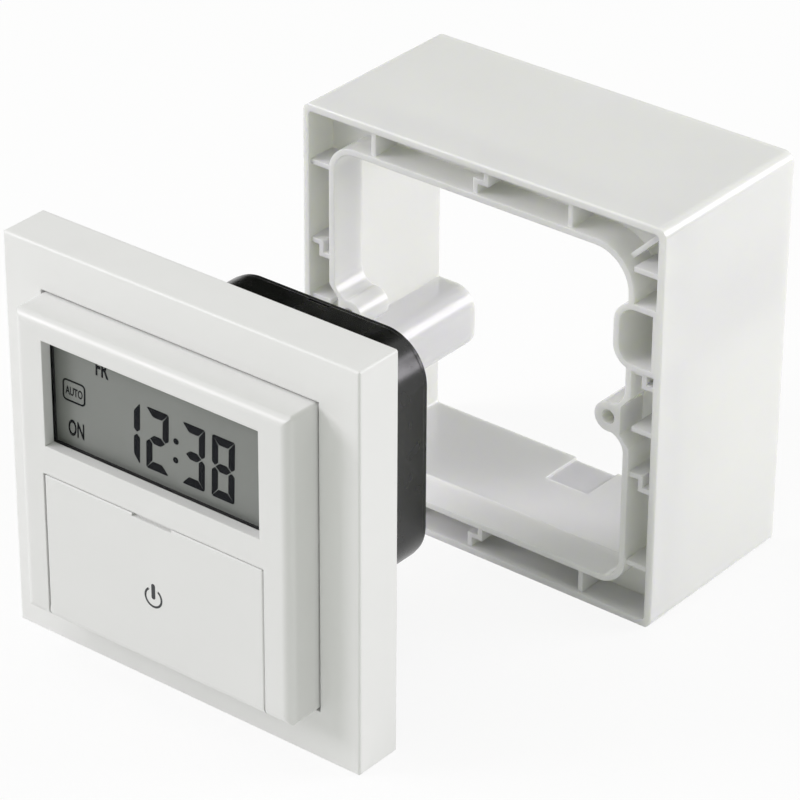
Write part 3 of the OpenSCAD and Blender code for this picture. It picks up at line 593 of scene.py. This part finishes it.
def sleeve(name, tone, mark):
    """Shrunk sleeve of an electrolytic can, with a pale stripe down one side."""
    recipe = Recipe(name, roughness=0.3)
    split = recipe.add("ShaderNodeSeparateXYZ", Vector=recipe.place)
    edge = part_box("smoothing_capacitor")[1].x - STRIPE_DEEP
    stripe = recipe.between(split.outputs["X"], 0, 1, edge, edge + STRIPE_SOFT)
    cloud = recipe.noise(size=3 * MM)
    skin = recipe.blend(cloud, rgba(tone, 0.9), rgba(tone, 1.1))
    recipe.paint(recipe.blend(stripe, skin, rgba(mark)))
    recipe.rough(recipe.between(cloud, low=0.24, high=0.36))
    recipe.relief(recipe.noise(size=0.8 * MM), depth=0.01 * MM, edge=0.2 * MM)
    return recipe.material


def foam(name, tone):
    """Soft black gasket with a fine open skin."""
    recipe = Recipe(name, roughness=0.85)
    bubbles = recipe.add("ShaderNodeTexVoronoi", Vector=recipe.place, Scale=1 / (0.2 * MM))
    cells = bubbles.outputs["Distance"]
    recipe.paint(recipe.blend(cells, rgba(tone, 0.8), rgba(tone, 1.3)))
    recipe.rough(recipe.between(cells, low=0.8, high=0.95, from_low=0, from_high=1))
    recipe.relief(cells, depth=0.02 * MM)
    return recipe.material


# Plain plastics inside: slot, material, colour, roughness and softened edge
INNER_PLASTICS = (
    ("key_grey", "key_plastic", (0.66, 0.66, 0.66), 0.42, 0.25 * MM),
    ("manual_grey", "manual_key_plastic", (0.45, 0.46, 0.47), 0.42, 0.25 * MM),
    ("reset_dark", "reset_plastic", (0.07, 0.07, 0.075), 0.42, 0.2 * MM),
    ("relay_blue", "relay_case", (0.012, 0.05, 0.24), 0.3, 0.25 * MM),
    ("capacitor_yellow", "capacitor_case", (0.68, 0.46, 0.03), 0.4, 0.25 * MM),
    ("terminal_grey", "terminal_plastic", (0.58, 0.6, 0.58), 0.45, 0.2 * MM),
)
# Metals: slot, material, colour, roughness and the axis of the rolling lines
METALS = (
    ("reflector_film", "reflector_film", (0.6, 0.6, 0.58), 0.4, 0),
    ("switch_metal", "switch_sheet", (0.62, 0.62, 0.62), 0.38, 2),
    ("bright_steel", "zinc_steel", (0.6, 0.61, 0.62), 0.32, 0),
    ("cell_steel", "cell_can", (0.7, 0.7, 0.71), 0.2, 0),
    ("pin_brass", "plated_brass", (0.72, 0.5, 0.2), 0.3, 1),
)


def slot_materials(finish):
    """The material of each slot of the record."""
    edge = finish.edge
    grain = finish.grain
    materials = {
        "white_plastic": moulded("satin_white_plastic", finish.bezel_white, 0.34, edge, grain),
        "housing_plastic": clouded(
            moulded("glossy_white_plastic", finish.housing_white, 0.2, edge, 1.2 * MM, depth=0.003 * MM),
            weight=0.8, reach=2.5 * MM),
        "module_plastic": moulded("carrier_plastic", (0.74, 0.74, 0.72), 0.5, edge, grain),
        "clear_pane": clear_pane("clear_pane"),
        "black_foam": foam("gasket_foam", (0.012, 0.012, 0.013)),
        "display_glass": display_glass("display_cell", finish.display_grey),
        "black_plastic": moulded("satin_black_plastic", finish.body_black, 0.24, 0.25 * MM, 0.5 * MM,
                                 depth=0.002 * MM, spread=0.05),
        "contact_rubber": striped_rubber("contact_rubber", (0.62, 0.28, 0.33)),
        "board_green": circuit_board("board_mask", (0.012, 0.1, 0.035)),
        "chip_black": moulded("chip_epoxy", (0.014, 0.014, 0.015), 0.6, 0.06 * MM, 0.15 * MM,
                              depth=0.006 * MM, specular=0.4, spread=0.1),
        "sheet_film": moulded("insulating_film", (0.78, 0.68, 0.36), 0.3, 0.05 * MM, 2 * MM),
        "can_sleeve": sleeve("can_sleeve", (0.015, 0.018, 0.075), (0.6, 0.62, 0.66)),
        "varistor_blue": moulded("dipped_lacquer", (0.02, 0.1, 0.34), 0.22, 0.6 * MM, 1.6 * MM,
                                 depth=0.03 * MM),
        "resistor_green": moulded("resistor_lacquer", (0.26, 0.52, 0.32), 0.4, 0.4 * MM, 0.6 * MM,
                                  depth=0.02 * MM),
    }
    for slot, name, tone, roughness, softness in INNER_PLASTICS:
        materials[slot] = moulded(name, tone, roughness, softness, grain)
    for slot, name, tone, roughness, along in METALS:
        materials[slot] = sheet_metal(name, tone, roughness, along)
    return materials


# Width of the camera's sensor in millimetres, and the range that it sees in metres
SENSOR_WIDTH = 36
CLIP = (0.01, 20)


class TIMER_OT_camera(bpy.types.Operator):
    """Puts the camera at the photograph's viewing angle"""
    bl_idname = "timer.camera"
    bl_label = "Place the camera"

    def execute(self, context):
        sizes = context.scene.timer_camera
        side, rise = sizes.azimuth, sizes.elevation
        back = Vector((math.sin(side) * math.cos(rise), -math.cos(side) * math.cos(rise), math.sin(rise)))
        right = Vector((math.cos(side), math.sin(side), 0))
        up = back.cross(right)
        turned_right = math.cos(sizes.roll) * right + math.sin(sizes.roll) * up
        turned_up = math.cos(sizes.roll) * up - math.sin(sizes.roll) * right
        target = Vector((sizes.target_x, sizes.target_y, sizes.target_z))
        camera = bpy.data.objects.new("camera", bpy.data.cameras.new("camera"))
        context.scene.collection.objects.link(camera)
        camera.data.lens = sizes.lens
        camera.data.sensor_width = SENSOR_WIDTH
        camera.data.clip_start, camera.data.clip_end = CLIP
        turn = Matrix((turned_right, turned_up, back)).transposed().to_4x4()
        camera.matrix_world = Matrix.Translation(target + back * sizes.distance) @ turn
        context.scene.camera = camera
        return {"FINISHED"}


# Strokes of a digit: the lit ones of each number, by their usual letters
LIT = {"1": "bc", "2": "abged", "3": "abgcd", "8": "abcdefg"}
# Left edge of each digit at its foot, right of the axis
DIGIT_LEFTS = (("1", -10.5 * MM), ("2", -3.94 * MM), ("3", 4.26 * MM), ("8", 10.91 * MM))
# Middle of each dot, right of the axis and above the middle of the display
DOT_PLACES = ((3.06 * MM, -0.95 * MM), (2.88 * MM, -4.72 * MM))
# Rise of the slanting cuts at the middle of a digit, and the middle stroke's gap as a share of the others
SLOPE = 1.15
MIDDLE_GAP = 0.6
# A digit's corners that lie within the first distance of its top or foot are outer ones, and those past
# the second are inner ones, which have a rounding of their own
OUTER_ZONE = 0.45 * MM
INNER_ZONE = 0.65 * MM
INNER_ROUND = 0.1 * MM
# Gloss of the marks, and how much bolder the words are than the font
INK_ROUGH = 0.5
INK_SPECULAR = 0.05
WORD_BOLD = 0.02


def on_display(piece):
    """Stands a flat piece on the display glass, with its origin at the middle of the display."""
    low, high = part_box("display_front_glass")
    return put_up(piece, FACING_FRONT, (low.x + high.x) / 2, low.y, (low.z + high.z) / 2)


class TIMER_OT_digits(bpy.types.Operator):
    """Models the digits of the clock from mitred strokes"""
    bl_idname = "timer.digits"
    bl_label = "Model the display digits"

    def execute(self, context):
        sizes = context.scene.timer_display
        half_w, half_h = sizes.digit_width / 2, sizes.digit_height / 2
        flat, upright, gap = sizes.bar_flat, sizes.bar_upright, sizes.bar_gap
        mitre = Vector((flat, upright, 0)).normalized()
        corner = Vector((-half_w, half_h, 0))
        flat_cut = corner + mitre * gap / 2
        upright_cut = corner - mitre * gap / 2
        tip = Vector((-half_w + upright / 2, gap, 0))
        slope = Vector((1, SLOPE, 0)).normalized()
        top = self.stroke("stroke_top", sizes.digit_width, flat, 0, half_h - flat / 2, (
            (flat_cut, (-mitre.x, -mitre.y, 0)),
            (Vector((-flat_cut.x, flat_cut.y, 0)), (mitre.x, -mitre.y, 0))), sizes)
        side = self.stroke("stroke_side", upright, half_h, upright / 2 - half_w, half_h / 2, (
            (upright_cut, (mitre.x, mitre.y, 0)),
            (tip, (-slope.x, -slope.y, 0)),
            (tip, (slope.x, -slope.y, 0))), sizes)
        end = Vector((-half_w + upright / 2 + gap * MIDDLE_GAP, 0, 0))
        middle = self.stroke("stroke_middle", sizes.digit_width, flat, 0, 0, (
            (end, (-slope.x, slope.y, 0)), (end, (-slope.x, -slope.y, 0)),
            (-end, (slope.x, slope.y, 0)), (-end, (slope.x, -slope.y, 0))), sizes)
        strokes = {
            "a": (top, 1, 1), "d": (top, 1, -1), "g": (middle, 1, 1),
            "f": (side, 1, 1), "b": (side, -1, 1), "e": (side, 1, -1), "c": (side, -1, -1),
        }
        lit = []
        for number, left in DIGIT_LEFTS:
            for letter in LIT[number]:
                master, flip_x, flip_y = strokes[letter]
                bar = copy_of(master, Matrix.Diagonal((flip_x, flip_y, 1, 1)))
                bar.data.transform(Matrix.Translation((0, half_h, 0)))
                lean(bar, sizes.slant)
                bar.data.transform(Matrix.Translation((left + half_w, sizes.digits_low, 0)))
                lit.append(bar)
        lit += [self.dot(x, z, sizes) for x, z in DOT_PLACES]
        for master in (top, side, middle):
            drop(master)
        digits = join("display_digits", lit)
        on_display(digits)
        ink = printed("display_ink", sizes.ink, INK_ROUGH, INK_SPECULAR)
        finish_piece(digits, "timer_base", ink)
        return {"FINISHED"}

    def stroke(self, name, width, height, x, y, cuts, sizes):
        """One bar, with its ends cut along the given lines and its corners rounded."""
        bar = new_plane(name, width, height, x, y)
        for point, normal in cuts:
            select_all()
            bpy.ops.mesh.bisect(plane_co=point, plane_no=normal, clear_outer=True)
        select_all()
        bpy.ops.mesh.dissolve_limited(angle_limit=math.radians(1))
        half = sizes.digit_height / 2
        select_points(bar, lambda place: abs(place.y) > half - OUTER_ZONE)
        round_corners(sizes.bar_round, steps=4)
        select_points(bar, lambda place: abs(place.y) <= half - INNER_ZONE)
        round_corners(INNER_ROUND, steps=2)
        thicken(sizes.ink_depth)
        return bar

    def dot(self, x, z, sizes):
        """One of the two dots between hours and minutes."""
        dot = new_disc("dot", sizes.dot_radius, corners=28, x=x, y=z)
        thicken(sizes.ink_depth)
        return dot


# Words on the display: letters, middle right of the display's middle and above it, height, width share
WORDS = (
    ("ON", -20.2 * MM, -7.1 * MM, 3.24 * MM, 0.55),
    ("AUTO", -20.43 * MM, 0.2 * MM, 1.7 * MM, 0.62),
    ("FR", -13.6 * MM, 7.2 * MM, 3.24 * MM, 0.62),
)
# Line round the small word: its width and height, its middle, its thickness and its rounding
BOX_SIZE = (5.35 * MM, 4.4 * MM)
BOX_MIDDLE = (-20.43 * MM, 0.23 * MM)
BOX_LINE = 0.36 * MM
BOX_ROUND = 0.95 * MM


class TIMER_OT_words(bpy.types.Operator):
    """Models the words on the display and the rounded line round one of them"""
    bl_idname = "timer.words"
    bl_label = "Model the display words"

    def execute(self, context):
        sizes = context.scene.timer_display
        pieces = []
        for words, x, z, height, narrow in WORDS:
            word = lettering("display_word", words, height, narrow, sizes.ink_depth, WORD_BOLD)
            lean(word, sizes.slant)
            word.data.transform(Matrix.Translation((x, z, 0)))
            pieces.append(word)
        pieces.append(self.rounded_line(sizes))
        words = join("display_words", pieces)
        on_display(words)
        ink = printed("display_word_ink", sizes.ink, INK_ROUGH, INK_SPECULAR)
        finish_piece(words, "timer_base", ink)
        return {"FINISHED"}

    def rounded_line(self, sizes):
        """A closed line round a rectangle with round corners."""
        line = new_plane("display_box", *BOX_SIZE)
        round_corners(BOX_ROUND, steps=6)
        select_all()
        bpy.ops.mesh.inset(thickness=BOX_LINE)
        bpy.ops.mesh.delete(type="FACE")
        thicken(sizes.ink_depth)
        lean(line, sizes.slant)
        line.data.transform(Matrix.Translation((*BOX_MIDDLE, 0)))
        return line


def ring_line(name, radius, line, opening, depth, steps=30):
    """A flat ring that is open at the top by the given angle."""
    start = math.radians(90) - opening / 2
    sweep = math.radians(360) - opening
    step = sweep / steps
    ring = new_plane(name, line, radius * step, radius)
    bpy.ops.mesh.delete(type="ONLY_FACE")
    select_points(ring, lambda place: place.y > 0)
    bpy.ops.mesh.delete(type="VERT")
    select_all()
    shift(0, radius * step / 2, 0)
    bpy.ops.mesh.spin(steps=steps, angle=sweep, center=(0, 0, 0), axis=(0, 0, 1))
    select_all()
    merge_points()
    thicken(depth)
    ring.data.transform(Matrix.Rotation(start, 4, "Z"))
    return ring


# Width of the gasket's ring before its opening is stretched to the window
GASKET_LINE = 1 * MM


class TIMER_OT_gasket(bpy.types.Operator):
    """Models the thin black gasket round the display"""
    bl_idname = "timer.gasket"
    bl_label = "Model the display gasket"

    def execute(self, context):
        sizes = context.scene.timer_forms
        low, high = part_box("display_gasket")
        gasket = new_plane("window_gasket", high.x - low.x, high.z - low.z)
        bpy.ops.mesh.inset(thickness=GASKET_LINE)
        share_x = (sizes.window_width + 2 * sizes.gasket_room) / (high.x - low.x - 2 * GASKET_LINE)
        share_y = (sizes.window_height + 2 * sizes.gasket_room) / (high.z - low.z - 2 * GASKET_LINE)
        bpy.ops.transform.resize(value=(share_x, share_y, 1))
        bpy.ops.mesh.delete(type="FACE")
        thicken(high.y - low.y)
        put_up(gasket, FACING_FRONT, (low.x + high.x) / 2, high.y, (low.z + high.z) / 2)
        stand_in(gasket)
        return {"FINISHED"}


class TIMER_OT_rear_body(bpy.types.Operator):
    """Models the rear body at the depth that it has in the photograph"""
    bl_idname = "timer.rear_body"
    bl_label = "Model the rear body"

    def execute(self, context):
        sizes = context.scene.timer_forms
        for name in ("rear_body_shell", "rear_body_cover"):
            piece = copy_of_node(name)
            edit_all()
            select_points(piece, lambda place: place.y > sizes.body_split)
            shift(0, sizes.body_more, 0)
            leave_edit()
            soften(piece)
            stand_in(piece)
        return {"FINISHED"}


# Inside the housing: wall of its ribs, gap between its walls, and both sides of the web that is left
# out, up from the middle
RIB = 1.2 * MM
WALL_GAP = 6.0 * MM
OLD_WEB = (25.55 * MM, 26.65 * MM)
# Boss that is replaced: its end, how far in from the inner wall it reaches, and how much of the inner
# wall is cut off behind the lip
OLD_BOSS_END = 12.5 * MM
OLD_BOSS_REACH = 9 * MM
OLD_BOSS_WALL = 0.9 * MM
# Cutting tools stand out past the faces that they cut, by a little or by a hair
PAST = 1 * MM
HAIR = 0.1 * MM


class TIMER_OT_housing(bpy.types.Operator):
    """Models the surface housing, with screw bosses that run into its inner wall in hollow curves"""
    bl_idname = "timer.housing"
    bl_label = "Model the surface housing"

    def execute(self, context):
        sizes = context.scene.timer_forms
        wall, lip = sizes.inner_wall, sizes.lip_deep
        piece = copy_of_node("housing_moulding")
        near = wall - OLD_BOSS_REACH
        tall = sizes.boss_root + 2 * PAST
        for far, front in ((wall, -PAST), (wall + OLD_BOSS_WALL, lip)):
            carve(piece, self.on_both_sides(self.block(near, far, -tall, tall, front, OLD_BOSS_END)))
        web = self.block(wall + RIB, wall + WALL_GAP, *OLD_WEB, 0, lip - RIB)
        carve(piece, self.on_both_sides(web))
        carve(piece, self.on_both_sides(self.boss(sizes)), "UNION")
        carve(piece, self.on_both_sides(self.hollow(sizes)))
        soften(piece)
        stand_in(piece)
        return {"FINISHED"}

    def boss(self, sizes):
        """A round boss and its root, which is hollowed by a round cut on each side."""
        lip = sizes.lip_deep
        root = self.block(sizes.screw_side, sizes.inner_wall + RIB / 2,
                          -sizes.boss_root, sizes.boss_root, 0, lip)
        curve = sizes.boss_root - sizes.boss_neck
        for side in (-1, 1):
            carve(root, self.rod(sizes.inner_wall - curve, side * sizes.boss_root, curve,
                                 -PAST, lip + PAST))
        carve(root, self.rod(sizes.screw_side, 0, sizes.boss_radius, 0, lip), "UNION")
        carve(root, self.rod(sizes.screw_side, 0, sizes.boss_hole, -PAST, lip + PAST))
        return root

    def hollow(self, sizes):
        """The room behind a boss, open to the cell beside it."""
        near = sizes.screw_side + sizes.boss_hole + RIB
        far = sizes.inner_wall + RIB + HAIR
        tall = sizes.boss_root - RIB
        room = self.block(near, far, -tall, tall, -PAST, sizes.lip_deep - RIB)
        inner_end = self.middle()[0] + near + HAIR
        edit_all()
        select_points(room, lambda place: place.x < inner_end)
        bpy.ops.transform.resize(value=(1, 1, sizes.boss_neck / tall))
        leave_edit()
        return room

    def middle(self):
        """The middle of the housing's front."""
        low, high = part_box("surface_housing")
        return (low.x + high.x) / 2, low.y, (low.z + high.z) / 2

    def block(self, left, right, low, high, front, back):
        """A block given by its sides, seen from the middle of the housing's front."""
        block = new_plane("block", right - left, high - low, (left + right) / 2, (low + high) / 2)
        thicken(back - front)
        x, y, z = self.middle()
        return put_up(block, FACING_FRONT, x, y + back, z)

    def rod(self, across, up, radius, front, back):
        """A rod from front to back, seen from the middle of the housing's front."""
        start_fresh()
        bpy.ops.mesh.primitive_cylinder_add(vertices=64, radius=radius, depth=back - front)
        x, y, z = self.middle()
        return put_up(bpy.context.object, FACING_FRONT, x + across, y + (front + back) / 2, z + up)

    def on_both_sides(self, tool):
        """The tool and its twin after half a turn about the middle."""
        place = Matrix.Translation(self.middle())
        turn = place @ Matrix.Rotation(math.radians(180), 4, "Y") @ place.inverted()
        return join("both_sides", [tool, copy_of(tool, turn)])


# Power sign: how far the bar rises past the ring, and the rounding of its ends as a share of its width
STEM_RISE = 0.72 * MM
STEM_ROUND = 0.49


class TIMER_OT_power_sign(bpy.types.Operator):
    """Models the power sign that is printed on the flap"""
    bl_idname = "timer.power_sign"
    bl_label = "Model the power sign"

    def execute(self, context):
        sizes = context.scene.timer_signs
        ring = ring_line("power_ring", sizes.ring_radius, sizes.ring_line, sizes.ring_opening,
                         sizes.print_depth)
        caps = [self.cap(math.radians(90) + side * sizes.ring_opening / 2, sizes) for side in (-1, 1)]
        stem = new_plane("power_stem", sizes.stem_width, sizes.stem_length)
        round_corners(sizes.stem_width * STEM_ROUND, steps=8)
        stem_up = sizes.ring_radius + sizes.ring_line / 2 + STEM_RISE - sizes.stem_length / 2
        select_all()
        shift(0, stem_up, 0)
        thicken(sizes.print_depth)
        sign = join("power_sign", [ring, stem] + caps)
        low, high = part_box("key_manual")
        put_up(sign, FACING_FRONT, (low.x + high.x) / 2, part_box("flap")[0].y,
               (low.z + high.z) / 2 + sizes.sign_up)
        finish_piece(sign, "flap_door", printed("flap_print", sizes.print_grey))
        return {"FINISHED"}

    def cap(self, turn, sizes):
        """Round end of the ring, as half a disc that meets it."""
        place = Vector((math.cos(turn), math.sin(turn), 0)) * sizes.ring_radius
        cap = new_disc("power_cap", sizes.ring_line / 2, corners=24, x=place.x, y=place.y)
        along = Vector((-math.sin(turn), math.cos(turn), 0))
        toward_ring = 1 if math.cos(turn) < 0 else -1
        bpy.ops.mesh.bisect(plane_co=place, plane_no=along * toward_ring, clear_outer=True)
        thicken(sizes.print_depth)
        return cap


# Sign on each key, and the body that the key belongs to
KEY_SIGNS = (
    ("key_clock", "clock_key", "clock"),
    ("key_day", "day_key", "D"),
    ("key_hour", "hour_key", "H"),
    ("key_minute", "minute_key", "M"),
    ("key_program", "program_key", "P"),
    ("key_random", "random_key", "R"),
)
# Clock sign: thickness of its lines, how much larger than a letter it is on each side, length of the
# minute hand as a share of the ring's radius and of the hour hand as a share of the minute hand, and
# rounding of the hands as a share of the lines
CLOCK_LINE = 0.28 * MM
CLOCK_MORE = 0.1 * MM
MINUTE_HAND = 0.62
HOUR_HAND = 0.8
HAND_ROUND = 0.3
# Width of the letters on the keys and of the terminal numbers, as a share of the font's own
KEY_NARROW = 0.85
NUMBER_NARROW = 0.9
# How much bolder the terminal numbers are, and their distance above the terminals
NUMBER_BOLD = 0.01
NUMBER_GAP = 1.2 * MM


class TIMER_OT_key_signs(bpy.types.Operator):
    """Models the signs printed on the small keys behind the flap"""
    bl_idname = "timer.key_signs"
    bl_label = "Model the key signs"

    def execute(self, context):
        sizes = context.scene.timer_signs
        ink = printed("key_print", sizes.print_grey)
        for node, body, sign in KEY_SIGNS:
            low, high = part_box(node)
            name = node + "_sign"
            if sign == "clock":
                piece = self.clock(name, sizes)
            else:
                piece = lettering(name, sign, sizes.key_letter, KEY_NARROW, sizes.print_depth)
            put_up(piece, FACING_FRONT, (low.x + high.x) / 2, low.y, (low.z + high.z) / 2)
            finish_piece(piece, body, ink)
        return {"FINISHED"}

    def clock(self, name, sizes):
        """A ring with two hands."""
        radius = sizes.key_letter / 2 + CLOCK_MORE
        ring = new_disc(name, radius, corners=36)
        bpy.ops.mesh.inset(thickness=CLOCK_LINE)
        bpy.ops.mesh.delete(type="FACE")
        thicken(sizes.print_depth)
        minutes = radius * MINUTE_HAND
        hours = minutes * HOUR_HAND
        hands = [
            self.hand(CLOCK_LINE, minutes, 0, minutes / 2, sizes),
            self.hand(hours, CLOCK_LINE, (hours + CLOCK_LINE) / 2, CLOCK_LINE / 2, sizes),
        ]
        return join(name, [ring] + hands)

    def hand(self, width, height, x, y, sizes):
        """A bar with rounded corners."""
        bar = new_plane("clock_hand", width, height, x, y)
        round_corners(CLOCK_LINE * HAND_ROUND, steps=2)
        thicken(sizes.print_depth)
        return bar


class TIMER_OT_terminal_numbers(bpy.types.Operator):
    """Models the moulded numbers at the terminals on the rear cover"""
    bl_idname = "timer.terminal_numbers"
    bl_label = "Model the terminal numbers"

    def execute(self, context):
        sizes = context.scene.timer_signs
        material = moulded("raised_number_plastic", context.scene.timer_finish.body_black,
                           roughness=0.3, edge=0.06 * MM, grain=0.3 * MM)
        entries = sorted(
            (mount for mount in frame["record"]["mounts"] if mount["name"].startswith("wire_entry")),
            key=lambda mount: -mount["pos_m"][0])
        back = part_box("rear_cover")[1].y + context.scene.timer_forms.body_more
        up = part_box("terminal_block")[1].z + NUMBER_GAP + sizes.number_height / 2
        numbers = []
        for count, mount in enumerate(entries, 1):
            number = lettering("number", str(count), sizes.number_height, NUMBER_NARROW,
                               sizes.number_relief, NUMBER_BOLD)
            numbers.append(put_up(number, FACING_BACK, mount["pos_m"][0], back, up))
        piece = join("terminal_numbers", numbers)
        finish_piece(piece, "timer_base", material)
        return {"FINISHED"}


class TIMER_OT_finishes(bpy.types.Operator):
    """Gives every CAD node, and each piece that stands for one, its procedural material"""
    bl_idname = "timer.finishes"
    bl_label = "Apply the finishes"

    def execute(self, context):
        finish = context.scene.timer_finish
        materials = slot_materials(finish)
        frame_plastic = moulded("frame_white_plastic", finish.frame_white, 0.36, finish.edge, finish.grain)
        by_node = {"cover_frame": frame_plastic}
        for part in frame["record"]["subparts"]:
            node = part["node"]
            by_node.setdefault(node, materials[part["material_slot"]])
            coat(frame["nodes"][node], by_node[node])
        for piece, node in STAND_INS.items():
            coat(bpy.data.objects[piece], by_node[node])
        return {"FINISHED"}


# Lights: name, place and width in metres, and the setting that gives its power
LIGHTS = (
    ("key_light", (-0.85, -0.75, 0.65), 0.55, "key"),
    ("rim_light", (0.82, 0.84, 0.42), 0.6, "rim"),
    ("top_light", (-0.25, -0.2, 1.1), 0.8, "top"),
)
# The lamps are a little violet and the sky a little green, which shows in the shaded corners
LAMP_TONE = (0.975, 0.945, 1.0)
SKY_TONE = (0.955, 1.0, 0.89, 1)
# Point that the lights face
AIM = Vector((0.02, 0.02, 0.0))
# Middle and width of a black card that only gloss sees, mirrored in the level faces
CARD_PLACE = Vector((-0.22, 0.34, 0.24))
CARD_SIZE = 0.46
# Colours of the card and of the floor under the white that the camera sees
CARD_BLACK = (0.01, 0.01, 0.01, 1)
FLOOR_GREY = (0.9, 0.9, 0.9, 1)


class TIMER_OT_studio(bpy.types.Operator):
    """Builds the floor, the lights and the white surroundings"""
    bl_idname = "timer.studio"
    bl_label = "Build the studio"

    def execute(self, context):
        sizes = context.scene.timer_studio
        start_fresh()
        bpy.ops.mesh.primitive_plane_add(size=sizes.floor_size)
        floor = bpy.context.object
        floor.name = "floor"
        floor.data.transform(Matrix.Translation((0, 0, cad_bounds[0].z - sizes.floor_gap)))
        floor.data.materials.append(self.floor_material(sizes))
        self.black_card()
        for name, place, width, power in LIGHTS:
            lamp = bpy.data.lights.new(name, "AREA")
            lamp.size = width
            lamp.color = LAMP_TONE
            lamp.energy = getattr(sizes, power)
            light = bpy.data.objects.new(name, lamp)
            light.location = place
            light.rotation_euler = (Vector(place) - AIM).to_track_quat("Z", "Y").to_euler()
            context.scene.collection.objects.link(light)
        self.surroundings(sizes)
        context.scene.view_settings.view_transform = "Standard"
        return {"FINISHED"}

    def black_card(self):
        """Keeps the white surroundings out of the gloss of the level black faces."""
        start_fresh()
        bpy.ops.mesh.primitive_plane_add(size=CARD_SIZE)
        card = bpy.context.object
        card.name = "black_card"
        turn = (CARD_PLACE - AIM).to_track_quat("Z", "Y").to_matrix().to_4x4()
        card.data.transform(Matrix.Translation(CARD_PLACE) @ turn)
        matt = bpy.data.materials.new("card_black")
        matt.use_nodes = True
        surface = matt.node_tree.nodes["Principled BSDF"]
        surface.inputs["Base Color"].default_value = CARD_BLACK
        surface.inputs["Specular IOR Level"].default_value = 0
        card.data.materials.append(matt)
        card.visible_camera = False
        card.visible_diffuse = False
        card.visible_transmission = False
        card.visible_shadow = False

    def seen(self, tree):
        """1 for rays of the camera, of gloss and through glass, and 0 for light on a surface."""
        path = tree.nodes.new("ShaderNodeLightPath")
        total = path.outputs["Is Camera Ray"]
        for kind in ("Is Glossy Ray", "Is Transmission Ray"):
            either = tree.nodes.new("ShaderNodeMath")
            either.operation = "MAXIMUM"
            tree.links.new(total, either.inputs[0])
            tree.links.new(path.outputs[kind], either.inputs[1])
            total = either.outputs["Value"]
        return total

    def mix(self, tree, factor, first, second, output):
        """Sends a mix of two shaders to the output."""
        mix = tree.nodes.new("ShaderNodeMixShader")
        for number, source in enumerate((factor, first, second)):
            tree.links.new(source, mix.inputs[number])
        tree.links.new(mix.outputs["Shader"], output.inputs["Surface"])

    def floor_material(self, sizes):
        """Pale floor that looks white and keeps a part of the object's shadow."""
        material = bpy.data.materials.new("white_floor")
        material.use_nodes = True
        tree = material.node_tree
        tree.nodes.clear()
        output = tree.nodes.new("ShaderNodeOutputMaterial")
        matt = tree.nodes.new("ShaderNodeBsdfDiffuse")
        white = tree.nodes.new("ShaderNodeEmission")
        amount = tree.nodes.new("ShaderNodeMath")
        amount.operation = "MULTIPLY"
        amount.inputs[1].default_value = sizes.floor_white
        matt.inputs["Color"].default_value = FLOOR_GREY
        tree.links.new(self.seen(tree), amount.inputs[0])
        self.mix(tree, amount.outputs["Value"], matt.outputs["BSDF"], white.outputs["Emission"], output)
        return material

    def surroundings(self, sizes):
        """An even sky that lights the object, and plain white where it is seen."""
        world = bpy.data.worlds.new("studio")
        world.use_nodes = True
        tree = world.node_tree
        sky = tree.nodes["Background"]
        sky.inputs["Color"].default_value = SKY_TONE
        sky.inputs["Strength"].default_value = sizes.sky
        white = tree.nodes.new("ShaderNodeBackground")
        white.inputs["Color"].default_value = (1, 1, 1, 1)
        self.mix(tree, self.seen(tree), sky.outputs["Background"], white.outputs["Background"],
                 tree.nodes["World Output"])
        bpy.context.scene.world = world


STEPS = (
    TIMER_OT_camera,
    TIMER_OT_digits,
    TIMER_OT_words,
    TIMER_OT_gasket,
    TIMER_OT_rear_body,
    TIMER_OT_housing,
    TIMER_OT_power_sign,
    TIMER_OT_key_signs,
    TIMER_OT_terminal_numbers,
    TIMER_OT_finishes,
    TIMER_OT_studio,
)


class TIMER_PT_panel(bpy.types.Panel):
    """Lists the steps and their sizes"""
    bl_idname = "TIMER_PT_panel"
    bl_label = "Timer switch"
    bl_space_type = "VIEW_3D"
    bl_region_type = "UI"
    bl_category = "Timer"

    def draw(self, context):
        for step in STEPS:
            self.layout.operator(step.bl_idname)
        for name, group in GROUPS.items():
            box = self.layout.box()
            box.label(text=group.__doc__)
            for size in group.__annotations__:
                box.prop(getattr(context.scene, name), size)


CLASSES = (*GROUPS.values(), *STEPS, TIMER_PT_panel)


def register():
    for kind in CLASSES:
        bpy.utils.register_class(kind)
    for name, group in GROUPS.items():
        setattr(bpy.types.Scene, name, bpy.props.PointerProperty(type=group))


def unregister():
    for name in GROUPS:
        delattr(bpy.types.Scene, name)
    for kind in reversed(CLASSES):
        bpy.utils.unregister_class(kind)


def main():
    register()
    bpy.ops.timer.camera()
    bpy.ops.timer.digits()
    bpy.ops.timer.words()
    bpy.ops.timer.gasket()
    bpy.ops.timer.rear_body()
    bpy.ops.timer.housing()
    bpy.ops.timer.power_sign()
    bpy.ops.timer.key_signs()
    bpy.ops.timer.terminal_numbers()
    bpy.ops.timer.finishes()
    bpy.ops.timer.studio()


if __name__ == "__main__":
    main()
